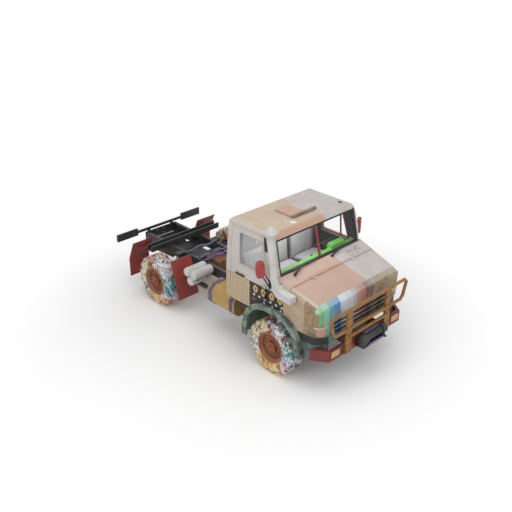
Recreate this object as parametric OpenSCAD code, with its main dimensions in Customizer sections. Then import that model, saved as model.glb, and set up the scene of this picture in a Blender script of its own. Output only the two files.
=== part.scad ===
// Short-bonnet four-wheel-drive truck, chassis and cab.
// X points forward, Y to the truck's left and Z up. The origin is on the ground, midway along and across.

/* [Wheels] */
// Distance between the axles
wheelbase = 3250; // [3200:10:3300]
// Diameter of a tyre, out to the tips of its lugs
tyre_d = 1020; // [1000:5:1040]
// Width of a tyre
tyre_w = 350; // [330:5:360]
// Width over the outer faces of the tyres
over_tyres_w = 2322; // [2310:2:2340]
// Diameter of a rim, over its edge
rim_d = 570; // [550:5:590]
// Distance of a steering pivot inboard of the middle of its wheel
kingpin_offset = 246; // [236:2:256]
// Length of a steering arm
steering_arm = 230; // [225:5:240]

/* [Frame] */
// Length from the rear cross-member to the front ends of the rails
frame_l = 5460; // [5440:10:5480]
// Distance of the rails' front ends ahead of the front axle
front_overhang = 935; // [925:5:945]
// Width over the rails
frame_w = 810; // [790:5:820]
// Height of the top of the rails above the ground
frame_top = 930; // [920:2:940]
// Depth of a rail
rail_h = 200; // [180:5:205]
// Width of a rail's flange
rail_flange = 70; // [60:5:80]
// Thickness of a rail
rail_t = 10; // [8:1:12]

/* [Cab] */
// Width of the cab at the belt line
cab_w = 2194; // [2180:2:2200]
// Height of the roof above the ground
roof_z = 2526; // [2515:1:2540]
// Distance of the cab's back wall behind the front axle
cab_setback = 1130; // [1115:5:1135]
// Thickness of doors and walls
wall = 55; // [45:5:58]
// Height of the belt line above the ground
belt_z = 1575; // [1560:5:1590]
// Height of the sill's underside above the ground
sill_z = 990; // [985:1:995]

/* [Doors] */
// Width of the cab's rear corner, from the back wall to the door
rear_corner_w = 111; // [109:1:118]
// Length of a door
door_l = 856; // [850:1:858]
// Gap around doors and lids
shut_gap = 6; // [5:1:8]
// Distance of a door's hinge line outside the cab's side
hinge_out = 17; // [15:1:21]

/* [Front end] */
// Height of the lower edge of the front panel
grille_z = 963; // [955:1:970]
// Depth of the bumper
bumper_h = 202; // [190:2:210]
// Distance of the bumper's face ahead of the rails
bumper_ahead = 200; // [190:2:210]
// Diameter of the bull bar's tubes
bar_d = 56; // [50:2:60]
// Height of the bull bar's top rail
bar_top_z = 1510; // [1490:5:1520]

/* [Tanks] */
// Length of the fuel tank
tank_l = 740; // [700:10:760]
// Depth of the fuel tank
tank_h = 425; // [400:5:440]
// Diameter of an air tank
air_tank_d = 180; // [170:2:186]

/* [Hidden] */
$fn = 64;

axle_x = wheelbase / 2;
hub_z = tyre_d / 2;
wheel_y = (over_tyres_w - tyre_w) / 2;
kingpin_y = wheel_y - kingpin_offset;
rail_y = frame_w / 2;
rail_z = [frame_top - rail_h, frame_top];
frame_x = at(axle_x + front_overhang, [-frame_l, 0]);
half_cab = cab_w / 2;
cab_rear_x = axle_x - cab_setback;
door_rear_x = cab_rear_x + rear_corner_w;
door_front_x = door_rear_x + door_l;
hinge_y = half_cab + hinge_out;
bumper_x = frame_x[1] + bumper_ahead;
skin = 6;
plate = 10;
pin_gap = 1;
bend_swell = 4;
wide = over_tyres_w / 2 + 139;

// Colours
black = [0.15, 0.15, 0.15];
rust = [0.47, 0.28, 0.19];
maroon = [0.44, 0.20, 0.18];
ochre = [0.59, 0.41, 0.18];
purple = [0.33, 0.30, 0.48];
tank_grey = [0.72, 0.72, 0.71];
greige = [0.75, 0.72, 0.67];
pink_beige = [0.76, 0.66, 0.60];
tan = [0.62, 0.54, 0.43];
fender_green = [0.38, 0.43, 0.39];
seat_grey = [0.67, 0.67, 0.67];
lime = [0.45, 0.78, 0.35];
amber = [0.75, 0.55, 0.31];
glass = [0.75, 0.80, 0.80, 0.35];
tyre_grey = [0.62, 0.58, 0.52];

// Two limits measured from a place
function at(place, span) = [place + span[0], place + span[1]];

// A block between two limits on each axis
module box(x, y, z) {
    translate([x[0], y[0], z[0]]) cube([x[1] - x[0], y[1] - y[0], z[1] - z[0]]);
}

// A flat outline drawn in (y, z), pulled along X
module along_x(x) {
    translate([x[0], 0, 0]) rotate([90, 0, 90]) linear_extrude(x[1] - x[0]) children();
}

// A flat outline drawn in (x, z), pulled along Y
module along_y(y) {
    translate([0, y[1], 0]) rotate([90, 0, 0]) linear_extrude(y[1] - y[0]) children();
}

// A flat outline drawn in (x, y), pulled along Z
module along_z(z) {
    translate([0, 0, z[0]]) linear_extrude(z[1] - z[0]) children();
}

// The same shape on the left and on the right
module both_sides() {
    children();
    mirror([0, 1, 0]) children();
}

// A shape drawn on the left, kept there or put on the right
module on_side(right) {
    if (right) mirror([0, 1, 0]) children();
    else children();
}

// A round bar between two points
module rod(a, b, d) {
    v = b - a;
    translate(a) rotate([0, acos(v[2] / norm(v)), atan2(v[1], v[0])]) cylinder(d = d, h = norm(v));
}

// A round bar through a row of points, with a slightly swollen ball at each point named by its number
module bent_rod(points, d, balls) {
    for (i = [1 : len(points) - 1]) rod(points[i - 1], points[i], d);
    for (i = balls) translate(points[i]) sphere(d = d + bend_swell);
}

// A profile drawn in (radius, distance outwards), turned about a wheel's axle
module turned(centre) {
    translate(centre) rotate([-90, 0, 0]) rotate_extrude($fn = 96) children();
}

// A half outline in (y, z) and its mirror image, as one closed list
function mirrored(half) = concat(half, [for (i = [len(half) - 1 : -1 : 0]) [-half[i][0], half[i][1]]]);

// Frame

module frame_rails() {
    color(black) both_sides() along_x(frame_x) difference() {
        translate([rail_y - rail_flange, rail_z[0]]) square([rail_flange, rail_h]);
        translate([rail_y - rail_flange - rail_t, rail_z[0] + rail_t])
            square([rail_flange, rail_h - 2 * rail_t]);
    }
}

// Columns: place along the truck, half width of the member along the truck
member_places = [[frame_x[0] + 500, 30], [-axle_x + 345, 30], [cab_rear_x - 825, 40], [frame_x[1] - 60, 40]];
coupling_hole_d = 17;
coupling_spread = [160, 100];
coupling_z = frame_top - rail_h / 2;

module crossmembers() {
    inner_y = rail_y - rail_t;
    color(black) {
        for (member = member_places)
            box(at(member[0], [-1, 1] * member[1]), [-inner_y, inner_y], rail_z + [30, -30]);
        difference() {
            box([frame_x[0] - plate, frame_x[0]], [-rail_y, rail_y], rail_z);
            for (y = [-1, 1], z = [-1, 1])
                translate([frame_x[0] - 2 * plate, y * coupling_spread[0] / 2,
                    coupling_z + z * coupling_spread[1] / 2])
                    rotate([0, 90, 0]) cylinder(d = coupling_hole_d, h = 3 * plate);
        }
    }
}

beam_x = at(-axle_x, [-550, -373]);
beam_half_l = 890;
beam_h = 112;
beam_wall = 28;
beam_base = 12;
body_hole_d = 18;
body_hole_y = 620;
body_hole_spread = 80;

module body_beams() {
    middle_x = (beam_x[0] + beam_x[1]) / 2;
    color(black) difference() {
        box(beam_x, [-beam_half_l, beam_half_l], at(frame_top, [0, beam_h]));
        box(beam_x + [beam_wall, -beam_wall], [-wide, wide], at(frame_top, [beam_base, 2 * beam_h]));
        for (x = [-1, 1], y = [-1, 1])
            translate([middle_x + x * body_hole_spread / 2, y * body_hole_y, frame_top - 1])
                cylinder(d = body_hole_d, h = beam_base + 2);
    }
}

light_bar_x = at(frame_x[0], [-50, -plate]);
lamp_box_y = [585, 1100];
lamp_box_z = [906, 1059];
lens_t = 10;

module rear_light_bar() {
    color(black) {
        box(light_bar_x, [-lamp_box_y[0], lamp_box_y[0]], [952, 1000]);
        both_sides() {
            box(light_bar_x, lamp_box_y, lamp_box_z);
            box([light_bar_x[1] - plate, light_bar_x[1]], [270, 340], [780, 960]);
        }
    }
}

module rear_lamps() {
    color([0.55, 0.10, 0.08]) both_sides()
        for (part = [0 : 2])
            box([light_bar_x[0] - lens_t, light_bar_x[0]], at(lamp_box_y[0] + 25 + part * 160, [0, 145]),
                lamp_box_z + [18, -18]);
}

// Columns: distance ahead of the rear axle and height of the top edge, the fold and the lower edge
flap_rear = [[-746, 1065], [-931, 659], [-934, 253]];
flap_front = [[485, 1105], [606, 736], [697, 335]];
// Columns: distance of each flap's stay ahead of the rear axle, its height,
// and how far its clamp reaches back and forward
flap_stays = [[-785, 860, -65, 18], [573, 800, -18, 18]];
flap_y = [600, 1091];
flap_t = 12;
flap_stay_d = 36;

// A folded sheet through three points, as thick as the flap
function folded(p, t) = concat(p, [for (i = [2 : -1 : 0]) p[i] + [t, 0]]);

module rear_mudguards() {
    translate([-axle_x, 0, 0]) {
        color(maroon) both_sides() for (flap = [flap_rear, flap_front])
            along_y(flap_y) polygon(folded(flap, flap_t));
        color(black) both_sides() for (stay = flap_stays) {
            rod([stay[0], rail_y, stay[1]], [stay[0], flap_y[1] - 191, stay[1]], flap_stay_d);
            box(at(stay[0], [stay[2], stay[3]]), at(flap_y[0], [40, 100]),
                at(stay[1], [-1, 1] * flap_stay_d / 2));
        }
    }
}

// Columns: x and z of each air tank's middle
air_tanks_x = -axle_x + 920;
air_tank_places = [[air_tanks_x - 95, 960], [air_tanks_x + 95, 960], [air_tanks_x, 802]];
air_tank_y = at(-rail_y, [-595, -95]);
saddle_rows_y = at(-rail_y, [-455, -235]);
saddle_rod_z = 909.6;
bearer_d = 64;
bearer_y = at(-rail_y, [-317, -317 + bearer_d]);
bearer_z = [608, 608 + bearer_d];

module air_tanks() {
    r = air_tank_d / 2;
    body_l = air_tank_y[1] - air_tank_y[0];
    crown = 45;
    color(tank_grey) for (place = air_tank_places)
        translate([place[0], air_tank_y[0], place[1]]) rotate([-90, 0, 0]) rotate_extrude()
            polygon([[0, 0], [r * 0.6, 6], [r * 0.9, crown * 0.55], [r, crown], [r, body_l - crown],
                [r * 0.9, body_l - crown * 0.55], [r * 0.6, body_l - 6], [0, body_l]]);
}

module tank_saddles() {
    saddle_gap = 0.3;
    color(black) {
        difference() {
            for (y = saddle_rows_y) along_y(at(y, [-8, 8]))
                translate([air_tanks_x, 0]) polygon([[-145, 905], [-95, 800], [-55, 760], [55, 760],
                    [95, 800], [145, 905],
                    [145, 950], [-145, 950]]);
            for (place = air_tank_places)
                translate([place[0], air_tank_y[0] - 1, place[1]]) rotate([-90, 0, 0])
                    cylinder(d = air_tank_d + 2 * saddle_gap, h = 600);
        }
        rod([air_tanks_x, -rail_y, saddle_rod_z], [air_tanks_x, saddle_rows_y[0] - 8, saddle_rod_z], 34);
        box([air_tanks_x - 240, tank_x[0]], bearer_y, bearer_z);
        for (x = [air_tanks_x - 175, tank_x[0] - 90]) {
            box([x, x + 40], [bearer_y[1], -rail_y + rail_flange], [bearer_z[1] - 32, bearer_z[1]]);
            box([x, x + 40], [-rail_y - 30, -rail_y], [bearer_z[1] - 32, frame_top - 80]);
        }
    }
}

tank_x = at(cab_rear_x - 665, [0, tank_l]);
tank_y = at(-rail_y, [-595, -115]);
tank_z = at(sill_z - 10, [-tank_h, 0]);
tank_chamfer = 110;
strap_places = at(tank_x[0], [60, tank_l - 120]);
strap_w = 52;

// An eight-sided tank section in (y, z), grown by a thickness
function tank_section(grow) = let(c = tank_chamfer + grow * 0.4, y = tank_y + [-grow, grow],
    z = tank_z + [-grow, grow]) [
    [y[0] + c, z[0]], [y[1] - c, z[0]], [y[1], z[0] + c], [y[1], z[1] - c],
    [y[1] - c, z[1]], [y[0] + c, z[1]], [y[0], z[1] - c], [y[0], z[0] + c]];

module fuel_tank() {
    color(ochre) along_x(tank_x) polygon(tank_section(0));
    color(black) {
        translate([tank_x[1] - 240, tank_y[0] + 310, tank_z[1]]) cylinder(d = 90, h = 34);
        for (x = at(tank_x[0], [210, tank_l - 310])) box([x, x + 70], [tank_y[1], -rail_y],
            rail_z + [10, -50]);
    }
}

module tank_straps() {
    color(purple) for (x = strap_places) along_x([x, x + strap_w]) difference() {
        polygon(tank_section(skin));
        polygon(tank_section(0));
    }
}

battery_x = at(cab_rear_x, [-615, -25]);
battery_y = at(rail_y, [135, 555]);

module battery_box() {
    color(black) {
        box(battery_x, battery_y, [frame_top - 330, frame_top]);
        for (x = at(battery_x[0], [120, 400])) box([x, x + 70], [rail_y, battery_y[0]], rail_z + [30, -50]);
    }
}

line_places = [-axle_x + 135, -axle_x + 520, -axle_x + 660];
line_d = 48;

module air_lines() {
    rest_z = frame_top + line_d / 2;
    color(purple) for (x = line_places)
        rod([x, -rail_y + 15, rest_z], [x, rail_y - 15, rest_z], line_d);
}

// Front end

bumper_z = [676, 676 + bumper_h];
bumper_front_y = 930;
bumper_end = [bumper_x - 280, 1110];
bumper_t = 56;
bumper_lamp_y = [681, 905];
bumper_lamp_z = bumper_z + [43, -18];
lamp_depth = 30;

module front_bumper() {
    outer = [[bumper_end[0], bumper_end[1]], [bumper_x, bumper_front_y]];
    inner = [[bumper_x - bumper_t, bumper_front_y - 30], [bumper_end[0], bumper_end[1] - 40]];
    half = concat(outer, [[bumper_x, 0], [bumper_x - bumper_t, 0]], inner);
    color(maroon) difference() {
        union() {
            both_sides() along_z(bumper_z) polygon(half);
            both_sides() box([frame_x[1], bumper_x - bumper_t], at(rail_y, [-rail_flange, 0]),
                bumper_z + [64, -8]);
        }
        both_sides() box([bumper_x - lamp_depth, bumper_x + 1], bumper_lamp_y, bumper_lamp_z);
    }
}

corner_lamp_d = 240;
corner_lamp_lip = 12;
corner_lamp_h = [10, 195];

module front_lamps() {
    color(amber) both_sides() {
        box([bumper_x - lamp_depth, bumper_x + 2], bumper_lamp_y, bumper_lamp_z);
        difference() {
            translate([nose_front_x - 133, half_cab - 182, strip_z[1]]) rotate_extrude() polygon([
                [0, corner_lamp_h[0]], [corner_lamp_d / 2 - 20, corner_lamp_h[0]],
                    [corner_lamp_d / 2, corner_lamp_h[0] + 40],
                [corner_lamp_d / 2, corner_lamp_h[1] - 45],
                    [corner_lamp_d / 2 + corner_lamp_lip, corner_lamp_h[1] - 25],
                [corner_lamp_d / 2 + corner_lamp_lip, corner_lamp_h[1]], [0, corner_lamp_h[1]]]);
            front_form(bonnet_t + shut_gap, 0);
        }
    }
}

upright_y = 505;
upright_w = 140;
bar_x = bumper_x + 34;
bar_mid_z = 1150;
bar_low_z = 998;
loop_y = [985, 915];
bend_w = 60;

module bull_bar() {
    color(ochre) {
        both_sides() {
            box([bumper_x, bar_x], at(upright_y, [-upright_w, upright_w] / 2), [bumper_z[0] + 6, bar_top_z]);
            bent_rod([[bar_x, loop_y[0] - bend_w, bar_top_z], [bar_x, loop_y[0], bar_top_z - bend_w],
                [bar_x, loop_y[1], bar_mid_z + bend_w], [bar_x, loop_y[1] - bend_w, bar_mid_z]], bar_d,
                    [0 : 3]);
        }
        for (rail = [[bar_top_z, loop_y[0] - bend_w], [bar_mid_z, loop_y[1] - bend_w],
            [bar_low_z, upright_y]])
            rod([bar_x, -rail[1], rail[0]], [bar_x, rail[1], rail[0]], bar_d);
    }
}

winch_y = [-285, 330];
winch_axis = [bumper_x + 102, 850];
winch_base_z = at(bumper_z[0], [30, 46]);
winch_front_x = bumper_x + 168;
// Columns: right end, left end and diameter of the motor and the gear case
winch_ends = [[winch_y[0], winch_y[0] + 120, 190], [winch_y[1] - 90, winch_y[1], 180]];

module winch() {
    color(black) {
        box([bumper_x, winch_front_x - 3], winch_y + [10, -10], winch_base_z);
        for (end = winch_ends) {
            rod([winch_axis[0], end[0], winch_axis[1]], [winch_axis[0], end[1], winch_axis[1]], end[2]);
            box(at(winch_axis[0], [-50, 50]), [end[0] + 10, end[1] - 10],
                [winch_base_z[1] - 1, winch_axis[1]]);
        }
        rod([winch_axis[0], winch_y[0] + 100, winch_axis[1]],
            [winch_axis[0], winch_y[1] - 80, winch_axis[1]], 128);
        translate([winch_front_x - 3, winch_y[1] - 30, winch_base_z[0] + 8]) rotate_extrude()
            translate([27, 0]) circle(d = 16);
    }
}

fairlead_y = winch_y + [135, -105];
fairlead_z = winch_base_z[1] + 20;

module winch_fairlead() {
    color(purple) {
        box(at(bumper_x, [40, 85]), winch_y + [120, -90], at(winch_axis[1], [72, 90]));
        rod([winch_front_x + 4, fairlead_y[0], fairlead_z], [winch_front_x + 4, fairlead_y[1], fairlead_z],
            34);
        for (y = [fairlead_y[0], fairlead_y[1] - 30])
            box(at(winch_front_x, [-13, 4]), [y, y + 30], [winch_base_z[1], fairlead_z + 3]);
    }
}

// Engine and running gear

engine_x = at(axle_x, [185, 815]);
engine_half_w = 300;
radiator_x = at(axle_x, [845, 885]);

module engine() {
    color(black) {
        box(engine_x, [-engine_half_w, engine_half_w], [770, 1330]);
        box(radiator_x, [-420, 420], [frame_top + 10, 1400]);
        both_sides() {
            box(at(engine_x[0], [190, 270]), [engine_half_w, rail_y - 10], at(frame_top, [0, 30]));
            box(radiator_x, [rail_y - rail_flange, rail_y - 20], at(frame_top, [0, 10]));
        }
    }
}

tube_z = 640;
tube_d = 120;
diff_half_l = 150;
gearbox_x = at(engine_x[0], [-1250, -410]);
gearbox_half_w = 220;

module driveline() {
    color(rust) {
        box(gearbox_x, [-gearbox_half_w, gearbox_half_w], [720, 965]);
        box([gearbox_x[1], engine_x[0]], [-260, 260], [830, 1180]);
        for (x = [[gearbox_x[0] + 440, gearbox_x[0] + 620], [gearbox_x[0], gearbox_x[0] + 140]])
            box(x, [-110, 110], [tube_z - 80, tube_z + 80]);
        rod([gearbox_x[0] + 620, 0, tube_z], [axle_x - diff_half_l, 0, tube_z], 110);
        rod([-axle_x + diff_half_l, 0, tube_z], [gearbox_x[0], 0, tube_z], tube_d);
        box(at(-axle_x, [435, 855]), [-170, 170], [tube_z + 50, 900]);
    }
    color(black) both_sides() box(at(gearbox_x[0], [240, 320]), [gearbox_half_w, rail_y - rail_t],
        [760, 800]);
}

axle_tube_d = 140;
yoke_y = at(kingpin_y, [-140, -80]);
kingpin_z = [440, 790];
lug_h = 40;
kingpin_d = 44;

module front_axle() {
    color(black) {
        box([axle_x - diff_half_l, axle_x + diff_half_l], [-150, 150], [480, 800]);
        both_sides() {
            rod([axle_x, 140, tube_z], [axle_x, yoke_y[0] + 10, tube_z], axle_tube_d);
            box(at(axle_x, [-60, 60]), yoke_y, kingpin_z);
            difference() {
                for (z = [kingpin_z[0], kingpin_z[1] - lug_h]) union() {
                    box(at(axle_x, [-60, 60]), [yoke_y[0], kingpin_y], [z, z + lug_h]);
                    translate([axle_x, kingpin_y, z]) cylinder(r = 60, h = lug_h);
                }
                translate([axle_x, kingpin_y, kingpin_z[0] - 1])
                    cylinder(d = kingpin_d + 2 * pin_gap, h = kingpin_z[1] - kingpin_z[0] + 2);
            }
            spring_pad(axle_x);
        }
    }
}

portal_y = at(wheel_y, [-286, -196]);

module rear_axle() {
    color(black) {
        box([-axle_x - diff_half_l, -axle_x + diff_half_l], [-150, 150], [480, 800]);
        both_sides() {
            rod([-axle_x, 140, tube_z], [-axle_x, portal_y[0] + 10, tube_z], axle_tube_d);
            box(at(-axle_x, [-95, 95]), portal_y, at(tube_z, [-240, 100]));
            hub([-axle_x, 0, hub_z], portal_y[1]);
            spring_pad(-axle_x);
        }
    }
}

spring_y = rail_y + 95;
spring_d = 130;
spring_z = [tube_z + 82, frame_top - 25];

// The seat under a coil spring, on the axle tube
module spring_pad(x) {
    box(at(x, [-70, 70]), at(spring_y, [-60, 60]), [tube_z + 20, spring_z[0]]);
}

module springs() {
    color(black) for (x = [-axle_x, axle_x]) both_sides() {
        translate([x, spring_y, spring_z[0]]) cylinder(d = spring_d, h = spring_z[1] - spring_z[0]);
        box(at(x, [-75, 75]), [rail_y, spring_y + 75], [spring_z[1], frame_top]);
    }
}

hub_d = 380;
hub_face_y = wheel_y + 66;

// A brake drum and hub inside a wheel, out to the wheel's disc
module hub(centre, from_y) {
    turned(centre) polygon([[0, from_y], [hub_d / 2 - 50, from_y], [hub_d / 2 - 50, from_y + 40],
        [hub_d / 2, from_y + 50],
        [hub_d / 2, hub_face_y - 70], [110, hub_face_y - 70], [110, hub_face_y], [0, hub_face_y]]);
}

arm_z = [535, 575];

// A knuckle on its steering pivot, with its steering arm reaching back
module knuckle() {
    centre = [axle_x, kingpin_y, 0];
    inside_z = [kingpin_z[0] + lug_h + pin_gap, kingpin_z[1] - lug_h - pin_gap];
    pin_end = [axle_x - steering_arm, kingpin_y, arm_z[0]];
    translate(centre) {
        translate([0, 0, inside_z[0]]) cylinder(r = 58, h = inside_z[1] - inside_z[0]);
        translate([0, 0, kingpin_z[0]]) cylinder(d = kingpin_d, h = kingpin_z[1] - kingpin_z[0]);
    }
    box(at(axle_x, [-50, 50]), [kingpin_y + 20, kingpin_y + 80], [480, 740]);
    hub([axle_x, 0, hub_z], kingpin_y + 78);
    difference() {
        union() {
            box([axle_x - steering_arm, axle_x - 30], at(kingpin_y, [-22, 22]), arm_z);
            translate(pin_end) cylinder(d = 60, h = arm_z[1] - arm_z[0]);
        }
        translate(pin_end - [0, 0, 1]) cylinder(d = 25, h = arm_z[1] - arm_z[0] + 2);
    }
}

module knuckle_right() { color(black) on_side(true) knuckle(); }
module knuckle_left() { color(black) on_side(false) knuckle(); }

module tie_rod() {
    x = axle_x - steering_arm;
    z = arm_z[0] - 22;
    color(black) {
        rod([x, -kingpin_y, z], [x, kingpin_y, z], 34);
        both_sides() {
            translate([x, kingpin_y, z - 20]) cylinder(d = 56, h = 40);
            translate([x, kingpin_y, z]) cylinder(d = 24, h = arm_z[1] - z);
        }
    }
}

rim_dish = 75;
rim_t = 20;
disc_r = 205;

// A dished rim: disc, cone, barrel and centre cap, as radius and distance outwards
module rim(front, right) {
    edge = tyre_w / 2 - 6;
    r = rim_d / 2;
    on_side(right) turned([front ? axle_x : -axle_x, wheel_y, hub_z]) polygon([
        [0, edge - rim_dish - rim_t], [disc_r, edge - rim_dish - rim_t], [r - 48, edge - 90], [r - 28, -edge],
        [r, -edge], [r, edge - 8], [r - 8, edge], [r - 22, edge], [disc_r + 8, edge - rim_dish + 8],
            [disc_r, edge - rim_dish],
        [112, edge - rim_dish], [104, edge - 28], [58, edge - 28], [52, edge - 12], [0, edge - 12]]);
}

module rim_front_right() { color(rust) rim(true, true); }
module rim_front_left() { color(rust) rim(true, false); }
module rim_rear_right() { color(rust) rim(false, true); }
module rim_rear_left() { color(rust) rim(false, false); }

tyre_r = tyre_d / 2;
half_tyre_w = tyre_w / 2;
bead_gap = 0.4;
lug_count = 18;
lug_depth = 30;
// Where a lug and the space after it start and end, as shares of the way from one lug to the next
lug_edges = [0, 0.425, 0.5, 0.925];
lug_pitch = 360 / lug_count;
bead_r = (rim_d / 2 + bead_gap) / cos(lug_pitch * lug_edges[1] / 2);
// Columns: radius and distance outwards of each line round a tyre's outer half,
// on a lug and then between two lugs
tyre_lines = [
    [bead_r, half_tyre_w - 22, bead_r, half_tyre_w - 22],
    [tyre_r - 140, half_tyre_w, tyre_r - 140, half_tyre_w],
    [tyre_r - 62, half_tyre_w - 3, tyre_r - 62, half_tyre_w - 16],
    [tyre_r, half_tyre_w - 38, tyre_r - lug_depth, half_tyre_w - 52],
    [tyre_r, 6, tyre_r - lug_depth, 6]];

// One point of a tyre, on a column round it and a line across it; the two rows of lugs take turns
function tyre_point(column, line) = let(
    inner = line >= len(tyre_lines),
    row = tyre_lines[inner ? 2 * len(tyre_lines) - 1 - line : line],
    angle = lug_pitch * (floor(column / 4) + lug_edges[column % 4]),
    on_lug = (column % 4 < 2) != inner,
    r = on_lug ? row[0] : row[2],
    out = on_lug ? row[1] : row[3])
    [r * sin(angle), inner ? -out : out, -r * cos(angle)];

// A tyre with two rows of lugs fused to it
module tyre(front, right) {
    columns = 4 * lug_count;
    lines = 2 * len(tyre_lines);
    function corner(column, line) = (column % columns) * lines + line % lines;
    on_side(right) translate([front ? axle_x : -axle_x, wheel_y, hub_z]) polyhedron(
        points = [for (column = [0 : columns - 1], line = [0 : lines - 1]) tyre_point(column, line)],
        faces = [for (column = [0 : columns - 1], line = [0 : lines - 1], half = [0, 1])
            [corner(column, line), corner(column + half, line + 1), corner(column + 1, line + 1 - half)]]);
}

module tyre_front_right() { color(tyre_grey) tyre(true, true); }
module tyre_front_left() { color(tyre_grey) tyre(true, false); }
module tyre_rear_right() { color(tyre_grey) tyre(false, true); }
module tyre_rear_left() { color(tyre_grey) tyre(false, false); }

// Cab shell

// Columns: half width and height, from the sill up to the roof's edge
cab_half = [[half_cab - 10, sill_z], [half_cab, sill_z + 270], [half_cab, belt_z],
    [half_cab - 24, belt_z + 360],
    [half_cab - 63, roof_z - 190], [half_cab - 97, roof_z - 34], [half_cab - 140, roof_z]];

// The cab's cross section in (y, z), inside a wall of thickness t
function cab_section(t) = mirrored([for (p = cab_half)
    [p[0] - t, p[1] == sill_z && t > 0 ? sill_z - 50 : p[1] - (p[1] > roof_z - 100 ? t : 0)]]);

windscreen_top = [door_front_x + 91, roof_z - 78];
windscreen_foot = [door_front_x + 234, belt_z + 265];
header_x = door_front_x + 48;

// The cab's side view in (x, z), inside a wall of thickness t
function cab_profile(t) = [[cab_rear_x + t, sill_z - (t > 0 ? 50 : 0)], [cab_rear_x + t, roof_z - 36 - t],
    [cab_rear_x + 34 + t, roof_z - t], [door_front_x - 421, roof_z - t], [header_x - t, roof_z - 14 - t],
        windscreen_top - [t, t * 0.4],
    windscreen_foot - [t, 0], [windscreen_foot[0] - t, sill_z - (t > 0 ? 50 : 0)]];

// The solid cab, inside a wall of thickness t
module cab_form(t) {
    intersection() {
        along_x([cab_rear_x, windscreen_foot[0] + 20]) polygon(cab_section(t));
        along_y([-wide, wide]) polygon(cab_profile(t));
    }
}

module cab_shell() {
    difference() {
        cab_form(0);
        cab_form(wall);
    }
}

roof_split_z = roof_z - 80;
floor_top_z = sill_z + 40;
door_top_z = roof_split_z - shut_gap;

// Wheel arch: a rounded box curve about a point over the front axle
arch_centre = [axle_x + 2, hub_z];
arch_size = [685, 780];
arch_power = 2.6;
arch_steps = 20;

function arch_points(grow) = [for (i = [0 : arch_steps])
    let(a = 180 * i / arch_steps, c = cos(a), s = sin(a))
    arch_centre + [(arch_size[0] + grow) * sign(c) * pow(abs(c), 2 / arch_power),
        (arch_size[1] + grow) * pow(abs(s), 2 / arch_power)]];

// The space under the wheel arches, right across the truck
module arch_space(grow, y) {
    points = arch_points(grow);
    along_y(y) polygon(concat(points, [[points[arch_steps][0], hub_z - 210], [points[0][0], hub_z - 210]]));
}

toe_x = axle_x - 660;
sill_rise = 65;
sill_in = 110;

// The space cut away under the cab's sides, where the sill slopes inwards
module sill_slope() {
    slope = sill_rise / sill_in;
    both_sides() along_x([cab_rear_x - 1, windscreen_foot[0]]) translate([half_cab - 10 - sill_in, sill_z])
        polygon([[-1, -slope], [sill_in + 40, -slope], [sill_in + 40, slope * (sill_in + 40)]]);
}

bulkhead_x = at(windscreen_foot[0], [-46, -6]);

step_l = [154, 408];

module cab_floor() {
    pan_y = half_cab - wall - shut_gap - 3;
    color(greige) {
        difference() {
            box([cab_rear_x, toe_x + 37], [-half_cab + 10, half_cab - 10], [sill_z, floor_top_z]);
            sill_slope();
        }
        difference() {
            along_y([-pan_y, pan_y])
                polygon([[toe_x, sill_z + 20], [toe_x + 55, sill_z + 5], [toe_x + 335, sill_z + 170],
                    [bulkhead_x[1], sill_z + 262],
                    [bulkhead_x[1], windscreen_foot[1] - 50], [bulkhead_x[0], windscreen_foot[1] - 50],
                    [bulkhead_x[0], sill_z + 395], [toe_x + 465, sill_z + 385], [toe_x + 265, sill_z + 322],
                    [toe_x + 110, sill_z + 207], [toe_x, floor_top_z]]);
            arch_space(0, [-wide, wide]);
        }
    }
    color(black) both_sides() along_x(at(door_rear_x, step_l)) translate([half_cab, sill_z])
        polygon([[-150, 6], [-125, -4], [-9, -4], [-9, 50], [-52, 32]]);
}

rear_window_y = 430;
rear_window_z = [belt_z + 275, roof_z - 236];

module cab_back_wall() {
    color(greige) difference() {
        intersection() {
            cab_shell();
            box([cab_rear_x, door_rear_x - shut_gap], [-wide, wide], [floor_top_z, roof_split_z]);
        }
        box([cab_rear_x - 1, cab_rear_x + wall + 1], [-rear_window_y, rear_window_y], rear_window_z);
        sill_slope();
    }
}

hatch_x = at(cab_rear_x, [350, 770]);
hatch_y = [-262, 322];
hatch_rim = 45;
hatch_pin = [hatch_x[0] - 16, roof_z + 20];

module cab_roof() {
    color(pink_beige) difference() {
        union() {
            intersection() {
                cab_shell();
                box([cab_rear_x, windscreen_foot[0]], [-wide, wide], [roof_split_z, roof_z + 1]);
            }
            for (y = [-100, 200]) hatch_hinge(y, [0, 34], hatch_pin[0] - 40);
        }
        box(hatch_x + [hatch_rim, -hatch_rim], hatch_y + [hatch_rim, -hatch_rim], at(roof_z, [-126, 74]));
    }
}

// A barrel on the hatch's hinge line with a leaf down to the roof or back to the lid
module hatch_hinge(y, span, leaf_x) {
    translate([hatch_pin[0], y + span[0], hatch_pin[1]]) rotate([-90, 0, 0])
        cylinder(d = 18, h = span[1] - span[0]);
    if (leaf_x < hatch_pin[0])
        along_y(at(y, span)) polygon([[leaf_x, roof_z - 2], hatch_pin + [0, -14], hatch_pin + [0, 6],
            [leaf_x, roof_z + 6]]);
    else
        box([hatch_pin[0], leaf_x], at(y, span), at(hatch_pin[1], [-4, 8]));
}

module roof_hatch() {
    lid_z = at(roof_z, [shut_gap, 32]);
    color(pink_beige) {
        box(hatch_x, hatch_y, lid_z);
        box([hatch_x[1] - 40, hatch_x[1] + 8], hatch_y, lid_z + [0, 10]);
        for (y = [-100, 200]) {
            hatch_hinge(y, [-36, -pin_gap], hatch_x[0] + 20);
            hatch_hinge(y, [34 + pin_gap, 70], hatch_x[0] + 20);
        }
    }
}

pillar_top_x = door_front_x - 124;
pillar_foot_x = door_front_x + shut_gap + 2;
seal_y = at(half_cab, [-108, -132]);
seal_z = [windscreen_foot[1], roof_split_z - 10];
seal_w = 30;
post_w = 44;

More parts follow.
